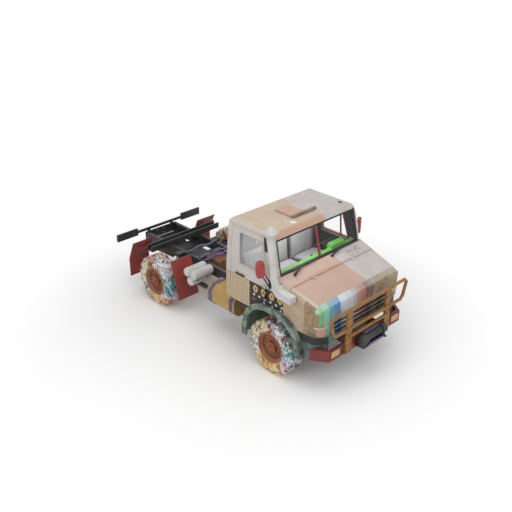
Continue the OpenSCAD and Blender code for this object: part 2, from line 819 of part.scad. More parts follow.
screen_x = [windscreen_top[0] - 103, windscreen_foot[0] + 104];

// The windscreen's opening in (y, z), drawn in by a margin
function screen_opening(m) = mirrored([[seal_y[0] - m, seal_z[0] + m], [seal_y[1] - m, seal_z[1] - m]]);

module screen_prism(m) {
    along_x(screen_x) polygon(screen_opening(m));
}

module windscreen_frame() {
    color(greige) difference() {
        intersection() {
            cab_shell();
            along_y([-wide, wide]) polygon([[pillar_top_x, roof_split_z],
                [pillar_foot_x, windscreen_foot[1] + 10],
                [pillar_foot_x, windscreen_foot[1]], [screen_x[1], windscreen_foot[1]],
                    [screen_x[1], roof_split_z]]);
        }
        screen_prism(0);
        both_sides() along_z([belt_z, roof_z]) polygon([[windscreen_foot[0] - 136, half_cab + 10],
            [windscreen_foot[0] + 64, half_cab - 127], [windscreen_foot[0] + 64, half_cab + 10]]);
    }
}

// A layer of the windscreen's wall between two depths
module screen_layer(front, back) {
    difference() {
        intersection() {
            cab_form(front);
            screen_prism(0);
        }
        cab_form(back);
    }
}

module windscreen_seal() {
    color(black) difference() {
        screen_layer(0, 40);
        screen_prism(seal_w);
    }
}

module windscreen_post() {
    color([0.53, 0.25, 0.24]) intersection() {
        screen_layer(8, 32);
        box(screen_x, [-post_w / 2, post_w / 2], seal_z + [seal_w, -seal_w]);
    }
}

module cab_glass() {
    color(glass) {
        difference() {
            intersection() {
                screen_layer(18, 24);
                screen_prism(seal_w);
            }
            box(screen_x, [-post_w / 2, post_w / 2], [belt_z, roof_z]);
        }
        box(at(cab_rear_x, [24, 30]), [-rear_window_y, rear_window_y], rear_window_z);
    }
}

// Doors

// Columns: x and z around a door's window, from its lower rear corner
window_outline = [[door_rear_x + 216, belt_z + 225], [door_front_x - 10, belt_z + 225],
    [door_front_x - 158, roof_z - 174], [door_rear_x + 184, roof_z - 174]];
hinge_x = door_front_x + 8;
// Columns: lower end of each hinge's middle barrel
hinge_rows = at(belt_z, [-165, -15]);
hinge_barrel_h = 50;
hinge_barrel_d = 26;

module door_area() {
    difference() {
        along_y([-wide, wide]) polygon([[door_rear_x, floor_top_z + shut_gap],
            [door_front_x, floor_top_z + shut_gap],
            [door_front_x, windscreen_foot[1] + 5], [pillar_top_x - shut_gap - 1, door_top_z],
                [door_rear_x, door_top_z]]);
        arch_space(shut_gap, [-wide, wide]);
    }
}

// The space that holds everything well to the left
module left_half() {
    box([cab_rear_x, windscreen_foot[0]], [half_cab / 2, wide], [sill_z - 90, roof_z + 74]);
}

module window_prism() {
    along_y([-wide, wide]) polygon(window_outline);
}

// A door on the left: panel with its window, handle, and hinge barrels on its front edge
module door() {
    difference() {
        intersection() {
            cab_shell();
            door_area();
            left_half();
        }
        window_prism();
        sill_slope();
    }
    box(at(door_rear_x, [146, 356]), at(half_cab, [-4, 22]), at(belt_z, [29, 53]));
    for (z = hinge_rows) {
        translate([hinge_x, hinge_y, z]) cylinder(d = hinge_barrel_d, h = hinge_barrel_h);
        box([door_front_x - 70, hinge_x], [half_cab - 1, hinge_y - 6], [z, z + hinge_barrel_h]);
    }
}

module door_glass() {
    intersection() {
        difference() {
            cab_form(24);
            cab_form(30);
        }
        window_prism();
        left_half();
    }
}

module door_right() { color(greige) on_side(true) door(); }
module door_left() { color(greige) on_side(false) door(); }
module door_glass_right() { color(glass) on_side(true) door_glass(); }
module door_glass_left() { color(glass) on_side(false) door_glass(); }

// Nose

cowl_x = [pillar_foot_x, axle_x + 363];
bonnet_rear_x = cowl_x[1] + 8;
nose_front_x = axle_x + 1013;
nose_wall = 38;
bonnet_t = 30;
strip_z = [945, 1085];
skirt_z = 630;

// Columns: x, half width low down, at the shoulder and on top, height of the shoulder and of the top
front_sections = [
    [cowl_x[0], half_cab, half_cab - 1, half_cab - 18, belt_z + 25, windscreen_foot[1]],
    [windscreen_foot[0], half_cab, half_cab - 1, half_cab - 18, belt_z + 25, windscreen_foot[1]],
    [axle_x + 368, half_cab - 7, half_cab - 5, half_cab - 97, 1690, 1769],
    [axle_x + 825, half_cab - 41, half_cab - 42, half_cab - 135, 1576, 1659],
    [axle_x + 880, half_cab - 107, half_cab - 50, half_cab - 139, 1562, 1646],
    [axle_x + 965, half_cab - 211, half_cab - 77, half_cab - 167, 1545, 1562],
    [nose_front_x, half_cab - 261, half_cab - 259, half_cab - 267, grille_z + 20, grille_z + 30]];

// The solid front end, lowered by a drop and drawn in by a wall
module front_form(drop, inset) {
    hull() for (s = front_sections)
        along_x(at(s[0] - (s[0] > bonnet_rear_x ? inset : 0), [-1, 0]))
            polygon(mirrored([[s[1] - inset, skirt_z], [s[1] - inset, grille_z],
                [s[2] - inset, s[4] - drop], [s[3] - inset, s[5] - drop]]));
}

bonnet_low_z = 1500;
bonnet_pin = [cowl_x[1] + 4, 1784];

// A barrel on the bonnet's hinge line
module bonnet_barrel(y) {
    translate([bonnet_pin[0], y[0], bonnet_pin[1]]) rotate([-90, 0, 0]) cylinder(d = 20, h = y[1] - y[0]);
}

module cowl() {
    color(pink_beige) {
        difference() {
            intersection() {
                front_form(0, 0);
                box(cowl_x, [-wide, wide], [sill_z, roof_z]);
            }
            intersection() {
                front_form(45, 45);
                box([0, cowl_x[1] + 1], [-wide, wide], [0, roof_z]);
            }
            box([0, bulkhead_x[0]], [-half_cab + wall, half_cab - wall], [0, roof_z]);
            box([0, windscreen_foot[0] - 60], [-half_cab + wall, half_cab - wall],
                [windscreen_foot[1] - 50, roof_z]);
            arch_space(0, [-wide, wide]);
        }
        both_sides() {
            for (z = hinge_rows, end = [-24, hinge_barrel_h + pin_gap]) {
                low = z + end - (end < 0 ? pin_gap : 0);
                translate([hinge_x, hinge_y, low]) cylinder(d = hinge_barrel_d, h = 24);
                box([hinge_x, hinge_x + 60], [half_cab - 6, hinge_y - 6], [low, low + 24]);
            }
            for (y = [430, 530]) {
                bonnet_barrel([y, y + 30]);
                along_y([y, y + 30]) polygon([bonnet_pin + [-52, -14], bonnet_pin + [0, -16],
                    bonnet_pin + [0, 8], bonnet_pin + [-52, 4]]);
            }
        }
    }
}

module bonnet() {
    color(pink_beige) {
        difference() {
            intersection() {
                front_form(0, 0);
                box([bonnet_rear_x, nose_front_x + 62], [-wide, wide], [bonnet_low_z, roof_z]);
            }
            front_form(bonnet_t, 0);
        }
        both_sides() {
            bonnet_barrel([460 + pin_gap, 530 - pin_gap]);
            along_y([460 + pin_gap, 530 - pin_gap])
                polygon([bonnet_pin + [0, -8], bonnet_pin + [58, -32], bonnet_pin + [58, -22],
                    bonnet_pin + [0, 9]]);
        }
    }
}

// Columns: height of each grille slot
slot_rows = [1060, 1140, 1220, 1300];
slot_h = 44;
slot_half_w = 780;

// The front end below the bonnet as an open box, between two heights
module front_box(z) {
    difference() {
        intersection() {
            front_form(bonnet_t + shut_gap, 0);
            box([cowl_x[1], nose_front_x + 62], [-wide, wide], z);
        }
        intersection() {
            front_form(-200, nose_wall);
            box([0, nose_front_x + 62], [-wide, wide], [0, roof_z]);
        }
        arch_space(0, [-wide, wide]);
    }
}

// The space around the grille, between the corner strips
module grille_space() {
    box([nose_front_x - 78, nose_front_x + 62], [-half_cab + 271, half_cab - 271], [0, roof_z]);
}

module nose() {
    color(tan) difference() {
        union() {
            front_box([strip_z[1], roof_z]);
            intersection() {
                front_box([grille_z, strip_z[1]]);
                grille_space();
            }
        }
        for (z = slot_rows) box([nose_front_x - 138, nose_front_x + 62], [-slot_half_w, slot_half_w],
            [z, z + slot_h]);
    }
    color(black) both_sides() box(at(axle_x, [575, 635]), [rail_y - 20, half_cab - 37], [1180, 1220]);
}

module fender_strips() {
    color(black) difference() {
        front_box([strip_z[0], strip_z[1]]);
        grille_space();
    }
}

fender_t = 14;
fender_lip_w = 95;
fender_lip_y = over_tyres_w / 2 - 50;
fender_y = [over_tyres_w / 2 - tyre_w - 21, over_tyres_w / 2];

module front_fenders() {
    color(fender_green) both_sides() {
        difference() {
            arch_space(0, fender_y);
            arch_space(-fender_t, [0, fender_lip_y]);
            arch_space(-fender_lip_w, [0, wide]);
            box([0, arch_centre[0]], [0, wide], [0, arch_centre[1] - 10]);
            box([arch_centre[0], bumper_x], [0, wide], [0, arch_centre[1] + 110]);
        }
        intersection() {
            front_box([skirt_z, strip_z[0]]);
            box([axle_x + 625, nose_front_x + 2], [half_cab - 261, wide], [skirt_z, strip_z[0]]);
        }
    }
}

mirror_centre = [hinge_x + 30, half_cab + 161, belt_z + 430];
mirror_size = [60, 145, 300];
mirror_turn = 30;
mirror_steps = 32;
mirror_power = 3.5;
mirror_foot_x = hinge_x + 105;
mirror_foot_t = 24;
mirror_stay_d = 22;
// Columns: height at the foot, then y and z inside the mirror
mirror_stays = [[belt_z + 70, half_cab + 130, belt_z + 320], [belt_z + 165, half_cab + 118, belt_z + 400]];

// A mirror's rounded outline in (y, z)
function mirror_outline() = [for (i = [0 : mirror_steps - 1])
    let(a = 360 * (i + 0.5) / mirror_steps, c = cos(a), s = sin(a))
    [mirror_size[1] / 2 * sign(c) * pow(abs(c), 2 / mirror_power),
        mirror_size[2] / 2 * sign(s) * pow(abs(s), 2 / mirror_power)]];

module mirrors() {
    foot_y = half_cab + mirror_foot_t;
    color([0.53, 0.25, 0.24]) both_sides()
        translate(mirror_centre) rotate(mirror_turn)
            along_x([-1, 1] * mirror_size[0] / 2) polygon(mirror_outline());
    color(black) {
        both_sides() for (stay = mirror_stays)
            rod([mirror_foot_x, foot_y - mirror_foot_t / 2, stay[0]], [mirror_centre[0], stay[1], stay[2]],
                mirror_stay_d);
        difference() {
            both_sides() box(at(mirror_foot_x, [-18, 18]), [half_cab - 14, foot_y], at(belt_z, [45, 195]));
            front_form(0, 0);
        }
    }
}

// Columns: spindle on the cowl, then the end of the arm at the foot of the windscreen
wiper_places = [[[windscreen_foot[0] + 95, -744], [windscreen_foot[0] + 16, -482]],
    [[windscreen_foot[0] + 69, 209], [windscreen_foot[0] + 4, 511]]];
wiper_d = 18;

module wipers() {
    color(black) for (w = wiper_places) {
        pivot = [w[0][0], w[0][1], windscreen_foot[1] - 8];
        tip = [w[1][0], w[1][1], windscreen_foot[1] + 28];
        difference() {
            box(at(pivot[0], [-20, 20]), at(pivot[1], [-20, 20]), at(pivot[2], [-42, 14]));
            front_form(0, 0);
        }
        rod(pivot, tip, wiper_d - 4);
        rod(tip - [0, 230, 0], tip + [0, 330, 0], wiper_d);
    }
}

snorkel_route = [[windscreen_top[0] + 19, -half_cab + 5, roof_z - 6],
    [windscreen_foot[0] + 32, -half_cab - 65, belt_z + 305],
    [windscreen_foot[0] + 79, -half_cab - 71, belt_z + 190]];
snorkel_d = 132;
snorkel_tip = 208;
// Columns: x ahead of the windscreen's foot and height above the belt line, round the side of the lower duct
snorkel_duct = [[24, 158], [140, 46], [458, 34], [458, 146], [205, 172], [130, 222]];
duct_y = at(-half_cab, [-139, -3]);

module snorkel() {
    cap = snorkel_route[0];
    color(tank_grey) {
        bent_rod(snorkel_route, snorkel_d, [1]);
        along_y(duct_y) translate([windscreen_foot[0], belt_z]) polygon(snorkel_duct);
        translate([cap[0], cap[1], roof_z]) rotate_extrude()
            polygon([[0, -46], [70, -46], [73, 4], [119, 90], [119, 108], [62, 180], [34, 203],
                [0, snorkel_tip]]);
        difference() {
            box(at(windscreen_foot[0], [184, 264]), at(-half_cab, [-13, 17]), at(belt_z, [70, 120]));
            front_form(0, 0);
        }
    }
}

// Inside the cab

wheel_centre = [windscreen_foot[0] - 436, 600, belt_z + 225];
wheel_tilt = 36;
wheel_r = 205;
column_axis = [sin(wheel_tilt), 0, -cos(wheel_tilt)];
binnacle_y = at(wheel_centre[1], [-170, 170]);
dash_x = windscreen_foot[0] - 56;

module dashboard() {
    color(lime) {
        translate([dash_x, 0, belt_z]) {
            along_y([-half_cab + 77, half_cab - 77])
                polygon([[-170, -95], [0, -145], [0, 225], [-80, 257], [-170, 225], [-190, 65]]);
            along_y(binnacle_y) polygon([[-170, 215], [-60, 235], [-70, 315], [-160, 340], [-185, 295]]);
        }
    }
    color(black) rod(wheel_centre + 54 * column_axis, wheel_centre + 360 * column_axis, 50);
}

module steering_wheel() {
    color(black) translate(wheel_centre) rotate([0, -wheel_tilt, 0]) {
        rotate_extrude() translate([wheel_r, 0]) circle(d = 30);
        translate([0, 0, -44]) cylinder(d = 90, h = 56);
        for (a = [90, 210, 330]) rotate(a) box([30, wheel_r], [-16, 16], [-12, 4]);
    }
}

// Columns: right and left edge of each seat
driver_seat_y = [290, 880];
bench_y = [-900, 215];
seat_base_x = at(cab_rear_x, [150, 455]);
cushion_x = at(cab_rear_x, [290, 745]);
cushion_z = at(floor_top_z, [330, 460]);
back_outline = [[seat_base_x[0], cushion_z[0]], [cushion_x[0], cushion_z[0]], [cushion_x[0], cushion_z[1]],
    [cushion_x[0] - 50, cushion_z[1] + 370], [cushion_x[0] - 95, cushion_z[1] + 390],
        [cab_rear_x + 115, cushion_z[1] + 350]];

module seat_bases() {
    color(black) for (y = [driver_seat_y, bench_y])
        box(seat_base_x, y + [40, -40], [floor_top_z, cushion_z[0]]);
}

module driver_cushion() { color(seat_grey) box(cushion_x, driver_seat_y, cushion_z); }
module bench_cushion() { color(seat_grey) box(cushion_x, bench_y, cushion_z); }
module driver_back() { color(seat_grey) along_y(driver_seat_y) polygon(back_outline); }
module bench_back() { color(seat_grey) along_y(bench_y) polygon(back_outline); }

frame_rails();
crossmembers();
body_beams();
rear_light_bar();
rear_lamps();
rear_mudguards();
air_tanks();
tank_saddles();
fuel_tank();
tank_straps();
battery_box();
air_lines();
front_bumper();
front_lamps();
bull_bar();
winch();
winch_fairlead();
engine();
driveline();
front_axle();
rear_axle();
springs();
knuckle_right();
knuckle_left();
tie_rod();
rim_front_right();
rim_front_left();
rim_rear_right();
rim_rear_left();
tyre_front_right();
tyre_front_left();
tyre_rear_right();
tyre_rear_left();
cab_floor();
cab_back_wall();
cab_roof();
windscreen_frame();
windscreen_seal();
windscreen_post();
cab_glass();
cowl();
nose();
front_fenders();
fender_strips();
mirrors();
wipers();
snorkel();
dashboard();
steering_wheel();
seat_bases();
driver_cushion();
driver_back();
bench_cushion();
bench_back();
door_right();
door_left();
door_glass_right();
door_glass_left();
bonnet();
roof_hatch();
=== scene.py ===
# %% [markdown]
# # Dressing a four-wheel-drive truck
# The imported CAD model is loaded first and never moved. Everything made below is a finish for one of
# its nodes, or a new surface that rides on one of its bodies. All sizes are in metres, X points
# forward, Y to the truck's left and Z up.

# %% Load the frame
import bmesh
import bpy
import numpy as np
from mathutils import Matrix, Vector


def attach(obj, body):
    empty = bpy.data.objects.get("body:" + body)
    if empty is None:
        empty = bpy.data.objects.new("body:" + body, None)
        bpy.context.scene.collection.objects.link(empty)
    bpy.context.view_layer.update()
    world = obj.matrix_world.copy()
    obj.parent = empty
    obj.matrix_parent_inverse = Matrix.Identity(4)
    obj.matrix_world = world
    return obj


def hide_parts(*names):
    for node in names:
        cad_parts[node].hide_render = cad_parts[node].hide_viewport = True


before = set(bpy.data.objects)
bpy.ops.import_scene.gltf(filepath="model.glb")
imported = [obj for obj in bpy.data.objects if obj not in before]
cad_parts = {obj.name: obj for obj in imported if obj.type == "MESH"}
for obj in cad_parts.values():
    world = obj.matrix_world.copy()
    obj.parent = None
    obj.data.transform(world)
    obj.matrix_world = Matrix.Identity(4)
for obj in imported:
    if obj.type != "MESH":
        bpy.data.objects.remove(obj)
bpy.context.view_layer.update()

# %% [markdown]
# ## Camera
# The truck was pictured from its front right corner, from well above, with a short tele lens. Such a
# view can be set by trial, but here it was worked out from the wheels and the cab's corners, so the
# camera is simply placed and aimed by two angles.

# %% Camera
AZIMUTH, ELEVATION = np.radians(46.093), np.radians(26.760)
CAMERA_PLACE, LENS, SENSOR = (8.6125, -8.1946, 7.2587), 49.35, 36.0
towards_camera = Vector((np.sin(AZIMUTH) * np.cos(ELEVATION),
                         -np.cos(AZIMUTH) * np.cos(ELEVATION), np.sin(ELEVATION)))
camera = bpy.data.objects.new("camera", bpy.data.cameras.new("camera"))
bpy.context.scene.collection.objects.link(camera)
camera.location = CAMERA_PLACE
camera.rotation_euler = towards_camera.to_track_quat("Z", "Y").to_euler()
camera.data.sensor_width, camera.data.lens = SENSOR, LENS
bpy.context.scene.camera = camera
bpy.context.scene.view_settings.view_transform = "Standard"
print("camera", tuple(round(v, 2) for v in camera.location))

# %% [markdown]
# ## How a finish is written
# Every finish, and the light too, is a small network of nodes. Written out in full, a network hides
# its idea under wiring, so a helper holds the wiring and each finish reads as a recipe: a place on the
# truck, some grain, a few colours blended by both, then roughness and bump. Colours are written as
# they look on screen, 0 to 255, and turned into Blender's linear values where they are blended.

# %% The wiring helper
def tone(red, green, blue):
    """Screen values 0 to 255 as linear light, by the standard screen curve."""
    c = np.array([red, green, blue]) / 255.0
    linear = np.where(c <= 0.04045, c / 12.92, ((c + 0.055) / 1.055) ** 2.4)
    return (*[float(v) for v in linear], 1.0)


class Wiring:
    """Adds nodes to a tree: each helper takes sockets or numbers and returns a socket."""

    def __init__(self, tree):
        self.tree = tree

    def put(self, kind, inputs, output=0, **settings):
        """Adds a node, sets or links its inputs by name or number, and returns one of its outputs."""
        node = self.tree.nodes.new("ShaderNode" + kind)
        for key, value in settings.items():
            setattr(node, key, value)
        for key, value in inputs.items():
            if isinstance(value, bpy.types.NodeSocket):
                self.tree.links.new(value, node.inputs[key])
            else:
                node.inputs[key].default_value = value
        return node.outputs[output]

    def math(self, operation, a, b=0.0):
        """One step of arithmetic."""
        return self.put("Math", {0: a, 1: b}, operation=operation)

    def plus(self, a, b):
        """The sum of two values."""
        return self.math("ADD", a, b)

    def less(self, a, b):
        """The first value less the second."""
        return self.math("SUBTRACT", a, b)

    def times(self, *values):
        """The product of values; of masks, it is 1 where every mask is 1."""
        product = values[0]
        for value in values[1:]:
            product = self.math("MULTIPLY", product, value)
        return product

    def ratio(self, a, b):
        """The first value divided by the second."""
        return self.math("DIVIDE", a, b)

    def size(self, value):
        """A value without its sign."""
        return self.math("ABSOLUTE", value)

    def either(self, a, b):
        """The larger of two values; of masks, it is 1 where one of them is 1."""
        return self.math("MAXIMUM", a, b)

    def outside(self, mask):
        """1 where a mask is 0, and 0 where it is 1."""
        return self.less(1.0, mask)

    def under(self, value, edge):
        """1 below an edge and 0 above it."""
        return self.math("LESS_THAN", value, edge)

    def over(self, value, edge, soft=0.001):
        """0 below an edge and 1 above it, smoothed over a short way."""
        return self.put("MapRange", {"Value": value, "From Min": edge - soft, "From Max": edge + soft},
                        interpolation_type="SMOOTHSTEP")

    def between(self, value, low, high, soft=0.001):
        """1 between two edges and 0 outside them."""
        return self.less(self.over(value, low, soft), self.over(value, high, soft))


print("middle grey, 128 on screen, is", round(tone(128, 128, 128)[0], 3), "in linear light")


# %% The finish helper
class Finish(Wiring):
    """A material being mixed: one Principled shader, and helpers that start from the place on the truck."""

    def __init__(self, name, roughness=0.55, metallic=0.0):
        self.material = bpy.data.materials.new(name)
        self.material.use_nodes = True
        super().__init__(self.material.node_tree)
        self.shader = self.tree.nodes["Principled BSDF"]
        self.shader.inputs["Roughness"].default_value = roughness
        self.shader.inputs["Metallic"].default_value = metallic
        self.kept = {}

    def place(self):
        """Where a point is on the truck."""
        if "place" not in self.kept:
            self.kept["place"] = self.put("TexCoord", {}, "Object")
        return self.kept["place"]

    def along(self, axis):
        """One coordinate of the place: X, Y or Z."""
        if axis not in self.kept:
            self.kept[axis] = self.put("SeparateXYZ", {0: self.place()}, axis)
        return self.kept[axis]

    def away(self):
        """The distance from the middle plane of the truck."""
        return self.size(self.along("Y"))

    def stretched(self, stretch, offset=(0, 0, 0)):
        """The place, stretched along the axes and moved."""
        if stretch == (1, 1, 1) and offset == (0, 0, 0):
            return self.place()
        return self.put("Mapping", {"Vector": self.place(), "Scale": stretch, "Location": offset})

    def grain(self, scale, detail=3.0, roughness=0.55, stretch=(1, 1, 1), offset=(0, 0, 0)):
        """Cloudy noise between 0 and 1, with a number of swells to the metre."""
        return self.put("TexNoise", {"Vector": self.stretched(stretch, offset), "Scale": scale,
                                     "Detail": detail, "Roughness": roughness})

    def patches(self, scale, output="Color", stretch=(1, 1, 1), feature="F1"):
        """Random patches about one over scale across: their own colour, or a distance inside them."""
        return self.put("TexVoronoi", {"Vector": self.stretched(stretch), "Scale": scale}, output,
                        feature=feature)

    def blend(self, share, a, b):
        """A colour part of the way from a to b; a colour is a socket or three screen values."""
        a, b = (tone(*colour) if isinstance(colour, tuple) else colour for colour in (a, b))
        return self.put("Mix", {0: share, 6: a, 7: b}, 2, data_type="RGBA")

    def stain(self, colour, other, mask, share):
        """A colour turned towards another by a share, where a mask is 1."""
        return self.blend(self.times(mask, share), colour, other)

    def clouds(self, a, b, scale, detail=5.0, roughness=0.55, spread=(0.3, 0.7), **where):
        """Two colours in clouds: the noise goes over from a to b within the spread."""
        return self.blend(self.wear(*spread, self.grain(scale, detail, roughness, **where)), a, b)

    def bands(self, value, rows):
        """Flat bands of colour: each row gives where a band starts, 0 to 1, and its screen values."""
        node = self.tree.nodes.new("ShaderNodeValToRGB")
        ramp = node.color_ramp
        ramp.interpolation = "CONSTANT"
        for start, _ in rows[2:]:
            ramp.elements.new(start)
        for element, (start, colour) in zip(ramp.elements, rows):
            element.position, element.color = start, tone(*colour)
        self.tree.links.new(value, node.inputs[0])
        return node.outputs[0]

    def wear(self, low, high, noise):
        """Keeps only the peaks of a noise, from a low to a high value."""
        return self.put("MapRange", {"Value": noise, "From Min": low, "From Max": high})

    def rough(self, noise, low, high):
        """Roughness that follows a noise between two values."""
        return self.put("MapRange", {"Value": noise, "To Min": low, "To Max": high})

    def done(self, colour, rough=None, height=None, depth=0.002, strength=0.35):
        """Plugs the colour, and the roughness and bump if there are any, into the shader."""
        self.tree.links.new(colour, self.shader.inputs["Base Color"])
        if rough is not None:
            self.tree.links.new(rough, self.shader.inputs["Roughness"])
        if height is not None:
            bump = self.put("Bump", {"Height": height, "Distance": depth, "Strength": strength})
            self.tree.links.new(bump, self.shader.inputs["Normal"])
        return self.material


def dress(material, *nodes):
    """Gives CAD nodes a finish, and returns it for use on new pieces."""
    for name in nodes:
        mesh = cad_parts[name].data
        mesh.materials.clear()
        mesh.materials.append(material)
    return material


print("finish helper ready")

# %% [markdown]
# ## Floor and light
# A picture on white needs little light of its own: a bright, even world fills the shadows, and large
# soft lamps give the roof and bonnet a lighter tone than the sides. The world looks pure white to the
# camera and in reflections, but lights the object at a plain level. The floor fades to the same white.

# %% Light
WHITE = (1, 1, 1, 1)


def studio_world(strength):
    """A white world for camera, glossy and transmission rays, and a softer one for everything else."""
    world = bpy.data.worlds.new("studio")
    bpy.context.scene.world = world
    world.use_nodes = True
    world.node_tree.nodes.clear()
    w = Wiring(world.node_tree)
    camera_ray, through, glossy = (w.put("LightPath", {}, f"Is {kind} Ray")
                                   for kind in ("Camera", "Transmission", "Glossy"))
    soft = w.put("Background", {"Color": WHITE, "Strength": strength})
    white = w.put("Background", {"Color": WHITE})
    seen = w.either(w.either(camera_ray, through), glossy)
    out = w.tree.nodes.new("ShaderNodeOutputWorld")
    w.tree.links.new(w.put("MixShader", {0: seen, 1: soft, 2: white}), out.inputs[0])


def soft_lamp(name, place, aim, size, watts):
    """A square lamp of the given width, pointed from its place at an aim."""
    lamp = bpy.data.objects.new(name, bpy.data.lights.new(name, "AREA"))
    lamp.data.size, lamp.data.energy = size, watts
    lamp.location = place
    lamp.rotation_euler = (Vector(place) - Vector(aim)).to_track_quat("Z", "Y").to_euler()
    bpy.context.scene.collection.objects.link(lamp)


studio_world(0.58)
soft_lamp("top_lamp", (2.0, -2.0, 9.0), (0.3, 0, 0.8), 7.0, 280.0)
soft_lamp("side_lamp", (0.5, -10.0, 4.5), (0.3, 0, 1.2), 5.0, 200.0)
soft_lamp("front_lamp", (10.0, 1.0, 4.5), (0.3, 0, 1.2), 5.0, 150.0)
soft_lamp("cab_lamp", (1.15, -0.05, 2.44), (1.2, -0.05, 1.4), 0.7, 11.0)


# %% Floor
def pale_floor(near, far):
    """Pale matt floor; seen by the camera it fades to plain white between two distances from the truck."""
    f = Finish("pale_floor", 1.0)
    f.shader.inputs["Base Color"].default_value = (0.94, 0.94, 0.94, 1)
    distance = f.put("VectorMath", {0: f.place()}, "Value", operation="LENGTH")
    fade = f.over(distance, (near + far) / 2, (far - near) / 2)
    share = f.times(fade, f.put("LightPath", {}, "Is Camera Ray"))
    mixed = f.put("MixShader", {0: share, 1: f.shader.outputs[0], 2: f.put("Emission", {})})
    f.tree.links.new(mixed, f.tree.nodes["Material Output"].inputs["Surface"])
    return f.material


REACH = 60
floor_mesh = bpy.data.meshes.new("floor")
floor_mesh.from_pydata([(-REACH, -REACH, 0), (REACH, -REACH, 0), (REACH, REACH, 0), (-REACH, REACH, 0)],
                       [], [(0, 1, 2, 3)])
floor_mesh.materials.append(pale_floor(2.2, 5.0))
floor = bpy.data.objects.new("floor", floor_mesh)
bpy.context.scene.collection.objects.link(floor)
print("floor", 2 * REACH, "m wide")

# %% [markdown]
# ## Plain paints and metals
# Chassis paint, bars, fenders and tanks are each one paint, weathered in the same way: broad clouds
# shift the tone, finer specks dull it, and a very fine noise stands in for orange peel. One recipe
# with a few numbers covers them all, which keeps the whole underside looking like one truck.

# %% Weathered paint
PEEL_SCALE, SPECK_TONE = 220.0, (60, 52, 46)


def weathered(name, base, faded, rough, cloud, second=None, spread=(0.3, 0.72)):
    """A paint: base tone clouded towards a faded one, specks, varied roughness and orange peel.
    A second tone takes over where a mask, made from the finish, is 1. A narrow spread makes the
    clouds into clear patches."""
    f = Finish(name)
    colour = f.clouds(base, faded, cloud, 5.0, 0.6, spread)
    colour = f.stain(colour, SPECK_TONE, f.wear(0.62, 0.74, f.grain(cloud * 14, 4.0, 0.65)), 0.35)
    if second is not None:
        mask, other = second(f)
        colour = f.blend(mask, colour, other)
    return f.done(colour, f.rough(f.grain(cloud * 5, 4.0), *rough), f.grain(PEEL_SCALE, 2.0), 0.0006, 0.25)


def painted_skirt_shade(f):
    """Painted shade: a darker green low on the fender's skirt, ahead of the wheel."""
    ahead, low = f.over(f.along("X"), 2.24, 0.03), f.outside(f.over(f.along("Z"), 0.95))
    return f.times(ahead, low, 0.55), (52, 62, 56)


BLACK = (36, 36, 37)
black_paint = dress(weathered("black_chassis_paint", BLACK, (62, 61, 60), (0.35, 0.6), 4.0),
                    "frame_rails", "crossmembers", "body_beams", "rear_light_bar", "tank_saddles",
                    "battery_box", "engine", "front_axle", "rear_axle", "springs", "knuckle_right",
                    "knuckle_left", "tie_rod", "winch", "wipers", "seat_bases")
strip_black = dress(weathered("black_strip_paint", (24, 24, 25), (38, 38, 38), (0.45, 0.65), 4.0),
                    "fender_strips")
purple_paint = dress(weathered("purple_paint", (88, 80, 118), (106, 98, 136), (0.4, 0.65), 5.0),
                     "winch_fairlead", "air_lines")
strap_paint = dress(weathered("dark_purple_paint", (76, 68, 102), (92, 84, 118), (0.4, 0.65), 5.0),
                    "tank_straps")
grey_paint = dress(weathered("pale_grey_paint", (196, 194, 192), (178, 175, 172), (0.4, 0.62), 4.0),
                   "air_tanks", "snorkel")
dress(weathered("ochre_bar_paint", (150, 104, 46), (124, 84, 36), (0.35, 0.6), 7.0), "bull_bar")
# The grey-green fender's second tone is painted shade low on its skirt, ahead of the wheel.
fender_paint = dress(weathered("grey_green_paint", (126, 138, 127), (66, 80, 72), (0.5, 0.75), 7.0,
                               painted_skirt_shade, (0.43, 0.6)), "front_fenders")
dress(weathered("brown_cast_metal", (140, 92, 70), (104, 66, 50), (0.5, 0.8), 8.0), "driveline")
red_paint = dress(weathered("red_paint", (146, 62, 58), (120, 44, 42), (0.35, 0.55), 6.0),
                  "windscreen_post")
dress(weathered("maroon_bumper_paint", (124, 48, 42), (98, 36, 32), (0.38, 0.6), 4.0), "front_bumper")
dress(weathered("black_floor_paint", (30, 30, 31), (46, 45, 44), (0.5, 0.75), 5.0), "cab_floor")
rubber = dress(weathered("black_rubber", (28, 28, 29), (44, 43, 42), (0.6, 0.85), 9.0),
               "windscreen_seal", "steering_wheel")
print("materials so far", len(bpy.data.materials))

# %% [markdown]
# Some nodes carry two finishes, such as a painted flap on black stays. A CAD mesh is never cut up, so
# the finish itself changes over at a plane: a mask of 0 and 1 is worked out from the place on the
# truck and blends one colour into the other.

# %% Paints with a second tone
def flap_stays(f):
    """Black near the middle of the truck, where the stays are."""
    return f.under(f.away(), 0.598), BLACK


def tank_bearers(f):
    """Black above the tank and inboard of it."""
    return f.either(f.over(f.along("Z"), 0.981), f.over(f.along("Y"), -0.519)), BLACK


def mirror_arms(f):
    """Black everywhere but on the mirrors' heads."""
    head = f.times(f.over(f.along("Z"), 1.853), f.over(f.away(), 1.157), f.under(f.along("Y"), 1.235))
    return f.outside(head), BLACK


def dash_face(f):
    """Black on the side of the dash that looks at the seats."""
    return f.under(f.along("X"), 1.449), BLACK


dress(weathered("maroon_flap_paint", (150, 64, 58), (124, 48, 44), (0.4, 0.62), 3.0, flap_stays),
      "rear_mudguards")
dress(weathered("ochre_tank_paint", (178, 144, 84), (154, 120, 64), (0.4, 0.62), 4.0, tank_bearers),
      "fuel_tank")
dress(weathered("red_mirror_paint", (172, 70, 66), (146, 54, 52), (0.3, 0.5), 8.0, mirror_arms), "mirrors")
dress(weathered("lime_dash_plastic", (108, 186, 84), (92, 168, 68), (0.45, 0.6), 6.0, dash_face),
      "dashboard")
print("two-tone paints on rear_mudguards, fuel_tank, mirrors and dashboard")

